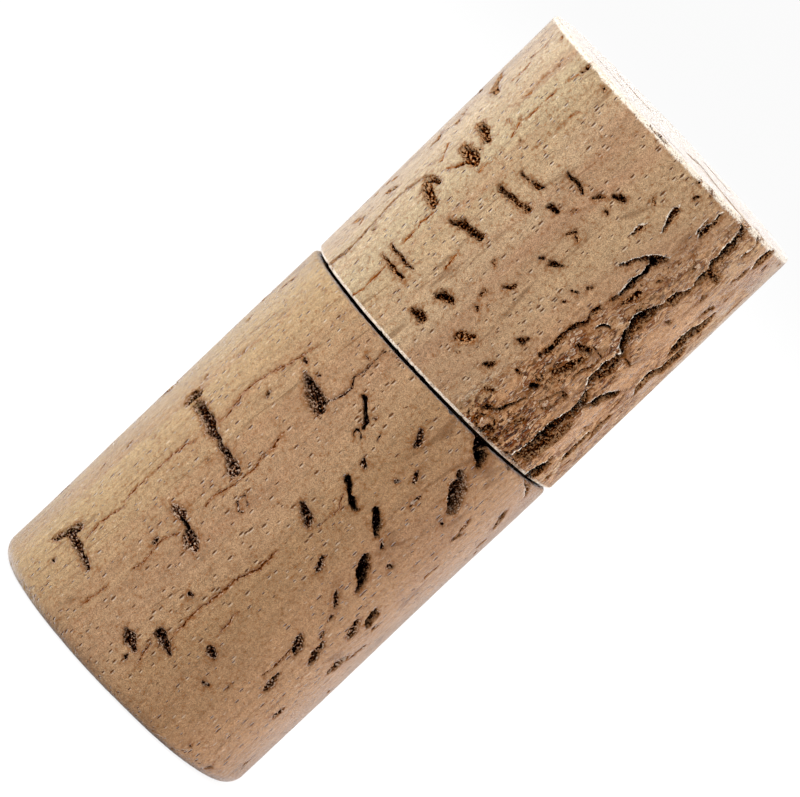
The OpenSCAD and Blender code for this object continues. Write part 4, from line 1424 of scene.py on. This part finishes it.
        # Fragments of dark bark, 0.26 mm wide and 0.5 mm long, in groups
        group = add("ShaderNodeMapRange", (pattern.mottle((2.2, 4.5)), 0.4, 0.62, -0.042, 0.028))
        group = add("ShaderNodeMath", (grain, group), operation="ADD")
        scrap = add("ShaderNodeMath", (pattern.mottle((0.26, 0.5)), group), operation="ADD")
        scrap = add("ShaderNodeMapRange", (scrap, 0.69, 0.705, 0.0, 0.95))
        for tone, share, over in ((patch, rough, self.RUST), (side, 0.42, self.HIGHLIGHT), (vein, 0.95, self.VEIN),
                                  (freckle, rough, self.FRECKLE), (scrap, rough, self.BARK)):
            cover = add("ShaderNodeMath", (tone, share), operation="MULTIPLY")
            colour = add("ShaderNodeMix", {0: cover, 6: colour, 7: over}, data_type="RGBA").outputs[2]
        fade = add("ShaderNodeMapRange", (rough, 0.0, 1.0, 1.0, 0.25))
        smoothed = add("ShaderNodeMath", (relief, fade), operation="MULTIPLY")
        return colour, add("ShaderNodeMath", (smoothed, vein), operation="SUBTRACT")

    def openings(self, pattern: Pattern, colour: bpy.types.NodeSocket,
                 grit: bpy.types.Node) -> bpy.types.NodeSocket:
        """Colours painted highlights, stained edges, painted shade in the depths and what openings hold.

        Args:
            pattern: the material's patterns.
            colour: the cork's colour.
            grit: the fine grit of its cells.

        Returns:
            The colour.
        """
        add = pattern.add
        opened, deep, fill, stained, pale = (
            add("ShaderNodeAttribute", attribute_name=layer).outputs["Fac"]
            for layer in ("open", "deep", "fill", "stain", "pale"))
        # Crumbled edges, 0.32 mm, broken up by the grit
        crumbs = pattern.mottle((0.32, 0.36), rough=0.65)
        fine = add("ShaderNodeMath", (grit, 0.55), operation="MULTIPLY")
        coarse = add("ShaderNodeMath", (crumbs, 0.45), operation="MULTIPLY")
        speckle = add("ShaderNodeMath", (fine, coarse), operation="ADD")
        # Painted highlight: the pale layer, broken up by the crumbs, mixes towards the highlight colour
        whole = add("ShaderNodeMapRange", (crumbs, 0.34, 0.54, 0.55, 1.0))
        pale = add("ShaderNodeMath", (pale, whole), operation="MULTIPLY")
        pale = add("ShaderNodeMapRange", (pale, 0.35, 0.85, 0.0, 0.95))
        colour = add("ShaderNodeMix", {0: pale, 6: colour, 7: self.HIGHLIGHT}, data_type="RGBA").outputs[2]
        ragged = add("ShaderNodeMath", (speckle, 8.0), operation="MULTIPLY")
        stained = add("ShaderNodeMath", (stained, ragged), operation="ADD")
        stained = add("ShaderNodeMapRange", (stained, 4.45, 4.8, 0.0, 0.8))
        colour = add("ShaderNodeMix", {0: stained, 6: colour, 7: self.RUST}, data_type="RGBA").outputs[2]
        # Growth lines crumble less than wide openings do
        loose = add("ShaderNodeMapRange", (fill, 1.02, 1.15, 1.0, 0.2))
        crumble = add("ShaderNodeMath", (speckle, 0.5), operation="SUBTRACT")
        crumble = add("ShaderNodeMath", (crumble, 2.8), operation="MULTIPLY")
        crumble = add("ShaderNodeMath", (crumble, loose), operation="MULTIPLY")
        opened = add("ShaderNodeMath", (opened, crumble), operation="ADD")
        opened = add("ShaderNodeMapRange", (opened, 0.0, 0.15))
        # Painted shade: openings darken with depth, empty ones faster than dusty ones
        held = add("ShaderNodeMath", (fill, deep), operation="SUBTRACT")
        dusty = add("ShaderNodeMapRange", (fill, 0.0, 0.4, 0.7, 0.25))
        held = add("ShaderNodeMath", (held, dusty), operation="MULTIPLY")
        # Grains of dust, 0.17 mm
        grains = add("ShaderNodeMath", (pattern.mottle((0.17, 0.2), 1.0), 0.5), operation="SUBTRACT")
        grains = add("ShaderNodeMath", (grains, 2.0), operation="MULTIPLY")
        grains = add("ShaderNodeMath", (grains, loose), operation="MULTIPLY")
        level = add("ShaderNodeMath", (grains, held), operation="ADD")
        level = add("ShaderNodeMath", (level, 0.5), operation="ADD")
        stops = zip((0.45, 0.51, 0.59, 0.68, 0.8), (self.DEPTH_SHADE, *self.crumbs))
        inside = add("ShaderNodeValToRGB", (level,), stops=stops)
        return add("ShaderNodeMix", {0: opened, 6: colour, 7: inside}, data_type="RGBA").outputs[2]


@dataclass(frozen=True)
class DustFinish:
    """Dry lenticel dust: a dark powder with no gloss, which breaks up the openings' black.

    Attributes:
        brown: colour of its middling grains.
        pale: colour of its palest grains.
    """

    brown: str
    pale: str

    # Its blackest and its dark grains
    BLACK, DARK = "#060201", "#2C1108"

    def material(self, name: str) -> bpy.types.Material:
        """Builds the material of this name."""
        made = bpy.data.materials.new(name)
        made.use_nodes = True
        pattern = Pattern(made.node_tree, 0.0)
        # One tone for each 0.2 mm or so, about a grain
        stops = zip((0.37, 0.45, 0.54, 0.67), (self.BLACK, self.DARK, self.brown, self.pale))
        colour = pattern.add("ShaderNodeValToRGB", (pattern.mottle((0.2, 0.2), 1.0),), stops=stops)
        shader = pattern.add("ShaderNodeBsdfPrincipled",
                             {"Base Color": colour, "Roughness": 0.95, "Specular IOR Level": 0.05})
        pattern.add("ShaderNodeOutputMaterial", {"Surface": shader})
        return made


@dataclass(frozen=True)
class Studio:
    """White surroundings, a large soft lamp above on the left, and the photograph's view.

    Attributes:
        distance: from the lens to the cork's axis.
        aim: height on the axis that the lens points at, before the pitch.
        elevation: height of the lens above level, in degrees.
        pitch: small turn of the lens down from the aim, in degrees.
        roll: turn of the camera that lays the cork's axis across the picture, in degrees.
        focal_px: focal length in pixels of the picture.
        picture_px: width of the picture in pixels.
        sensor: width of the sensor.
    """

    distance: float = 530.0
    aim: float = 30.0
    elevation: float = 5.35
    pitch: float = -0.158
    roll: float = 46.53
    focal_px: float = 7345.0
    picture_px: float = 800.0
    sensor: float = 36.0

    FLOOR_SIZE = 40

    def camera(self) -> None:
        """Sets the camera up."""
        level = math.radians(self.elevation)
        data = bpy.data.cameras.new("camera")
        data.sensor_width = self.sensor
        data.lens = self.focal_px / self.picture_px * self.sensor
        data.clip_start, data.clip_end = 0.01, 100.0
        camera = placed("camera", data)
        spot = Vector((0, -self.distance * math.cos(level), self.aim + self.distance * math.sin(level))) * MM
        tip = math.radians(90 - self.elevation + self.pitch)
        turn = Matrix.Rotation(tip, 4, "X") @ Matrix.Rotation(math.radians(self.roll), 4, "Z")
        camera.matrix_world = Matrix.Translation(spot) @ turn
        bpy.context.scene.camera = camera

    def lamp(self, name: str, spot: tuple[float, float, float], size: float, watts: float) -> None:
        """Adds a soft square lamp that faces the cork.

        Args:
            name: its name.
            spot: where it stands, in metres.
            size: its side, in metres.
            watts: its power.
        """
        data = bpy.data.lights.new(name, "AREA")
        data.shape = "SQUARE"
        data.size = size
        data.energy = watts
        lamp = placed(name, data)
        lamp.location = spot
        towards = Vector((0, 0, self.aim * MM)) - Vector(spot)
        lamp.rotation_euler = towards.to_track_quat("-Z", "Y").to_euler()

    def world(self, level: float) -> None:
        """Lights the cork from white surroundings, which look white themselves.

        Args:
            level: strength of the light that they give.
        """
        world = bpy.data.worlds.new("white_surroundings")
        bpy.context.scene.world = world
        world.use_nodes = True
        world.node_tree.nodes.clear()
        add = partial(add_node, world.node_tree)
        path = add("ShaderNodeLightPath").outputs
        seen = add("ShaderNodeMath", (path["Is Camera Ray"], path["Is Glossy Ray"]), operation="MAXIMUM")
        seen = add("ShaderNodeMath", (seen, path["Is Transmission Ray"]), operation="MAXIMUM")
        strength = add("ShaderNodeMapRange", (seen, 0.0, 1.0, level, 1.0))
        light = add("ShaderNodeBackground", {"Color": "#FFFFFF", "Strength": strength})
        add("ShaderNodeOutputWorld", {"Surface": light})

    def floor(self) -> None:
        """Lays a plain white floor that keeps the cork's shadow."""
        bpy.ops.mesh.primitive_plane_add(size=self.FLOOR_SIZE)
        floor = bpy.context.object
        floor.name = "floor"
        # Matt white paper: seen directly it glows a little, so that it stays white round the shadow
        made = bpy.data.materials.new("paper_white_matt")
        made.use_nodes = True
        made.node_tree.nodes.clear()
        add = partial(add_node, made.node_tree)
        path = add("ShaderNodeLightPath").outputs
        seen = add("ShaderNodeMath", (path["Is Camera Ray"], path["Is Glossy Ray"]), operation="MAXIMUM")
        share = add("ShaderNodeMath", (seen, 0.85), operation="MULTIPLY")
        paper = add("ShaderNodeBsdfDiffuse", {"Color": "#F2F2F2"})
        glow = add("ShaderNodeEmission", {"Color": "#FFFFFF", "Strength": 1.05})
        mixed = add("ShaderNodeMixShader", (share, paper, glow))
        add("ShaderNodeOutputMaterial", {"Surface": mixed})
        floor.data.materials.append(made)


def mm_box(node: str) -> tuple[list[float], list[float]]:
    """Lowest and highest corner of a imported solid, in millimetres."""
    low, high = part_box(node)
    return [c / MM for c in low], [c / MM for c in high]


def main() -> None:
    """Builds the camera, the light and both lengths of cork."""
    logging.basicConfig(level=logging.INFO, format="%(name)s: %(message)s")
    scene = bpy.context.scene
    scene.view_settings.view_transform = "Standard"
    studio = Studio()
    studio.camera()
    studio.world(0.5)
    studio.floor()
    studio.lamp("key", (-0.5, -0.35, 0.45), 0.3, 4.7)
    studio.lamp("fill", (0.65, 0.2, 0.3), 0.5, 3.2)
    studio.lamp("rim_left", (-0.6, 0.45, 0.2), 0.5, 3.6)
    studio.lamp("rim_right", (0.55, 0.5, 0.45), 0.5, 4.6)
    body_low, body_high = mm_box("cork_body")
    cap_low, cap_high = mm_box("cork_cap")
    # Radius of the eased edges on both sides of the parting line
    eased = 0.3
    body = CorkBody(
        name="cork_body_surface", node="cork_body", body="lower", marks=BODY_MARKS, seed=11,
        foot=body_low[2], head=31.6, low_r=body_high[0], top_r=body_high[0],
        low_edge=1.3, top_edge=eased, spigot_top=body_high[2])
    body.build((CorkFinish().material("natural_cork_lower"),
                CorkFinish().material("turned_cork_lower", 0.0)),
               DustFinish("#5C4236", "#967B6E").material("lenticel_dust_grey_brown"))
    cap = CorkCap(
        name="cork_cap_surface", node="cork_cap", body="upper", marks=CAP_MARKS, seed=23,
        foot=cap_low[2], head=cap_high[2], low_r=12.05, top_r=cap_high[0], low_edge=eased,
        top_edge=0.35, socket_top=body_high[2], rim_highlight=(0.4, 0.6), deep_dust=0.1)
    # The cap comes from a paler length; its patterns start elsewhere, so that none runs on from the body's
    paler = CorkFinish(
        years=((0.25, "#B8A284"), (0.47, "#AD997A"), (0.6, "#A58C6C"), (0.69, "#AC9172"), (0.75, "#9D7D60"),
               (0.84, "#A78868"), (0.93, "#B49572"), (1.0, "#B98E68")),
        shade="#A07A5E", crumbs=("#3C1202", "#743A14", "#966030", "#C49C74"), shift=0.037)
    cap.build((paler.material("natural_cork_upper"), paler.material("turned_cork_upper", 0.0),
               paler.material("natural_cork_bark_side", 0.4)),
              DustFinish("#7C4016", "#AA7846").material("lenticel_dust_red_brown"))


if __name__ == "__main__":
    main()
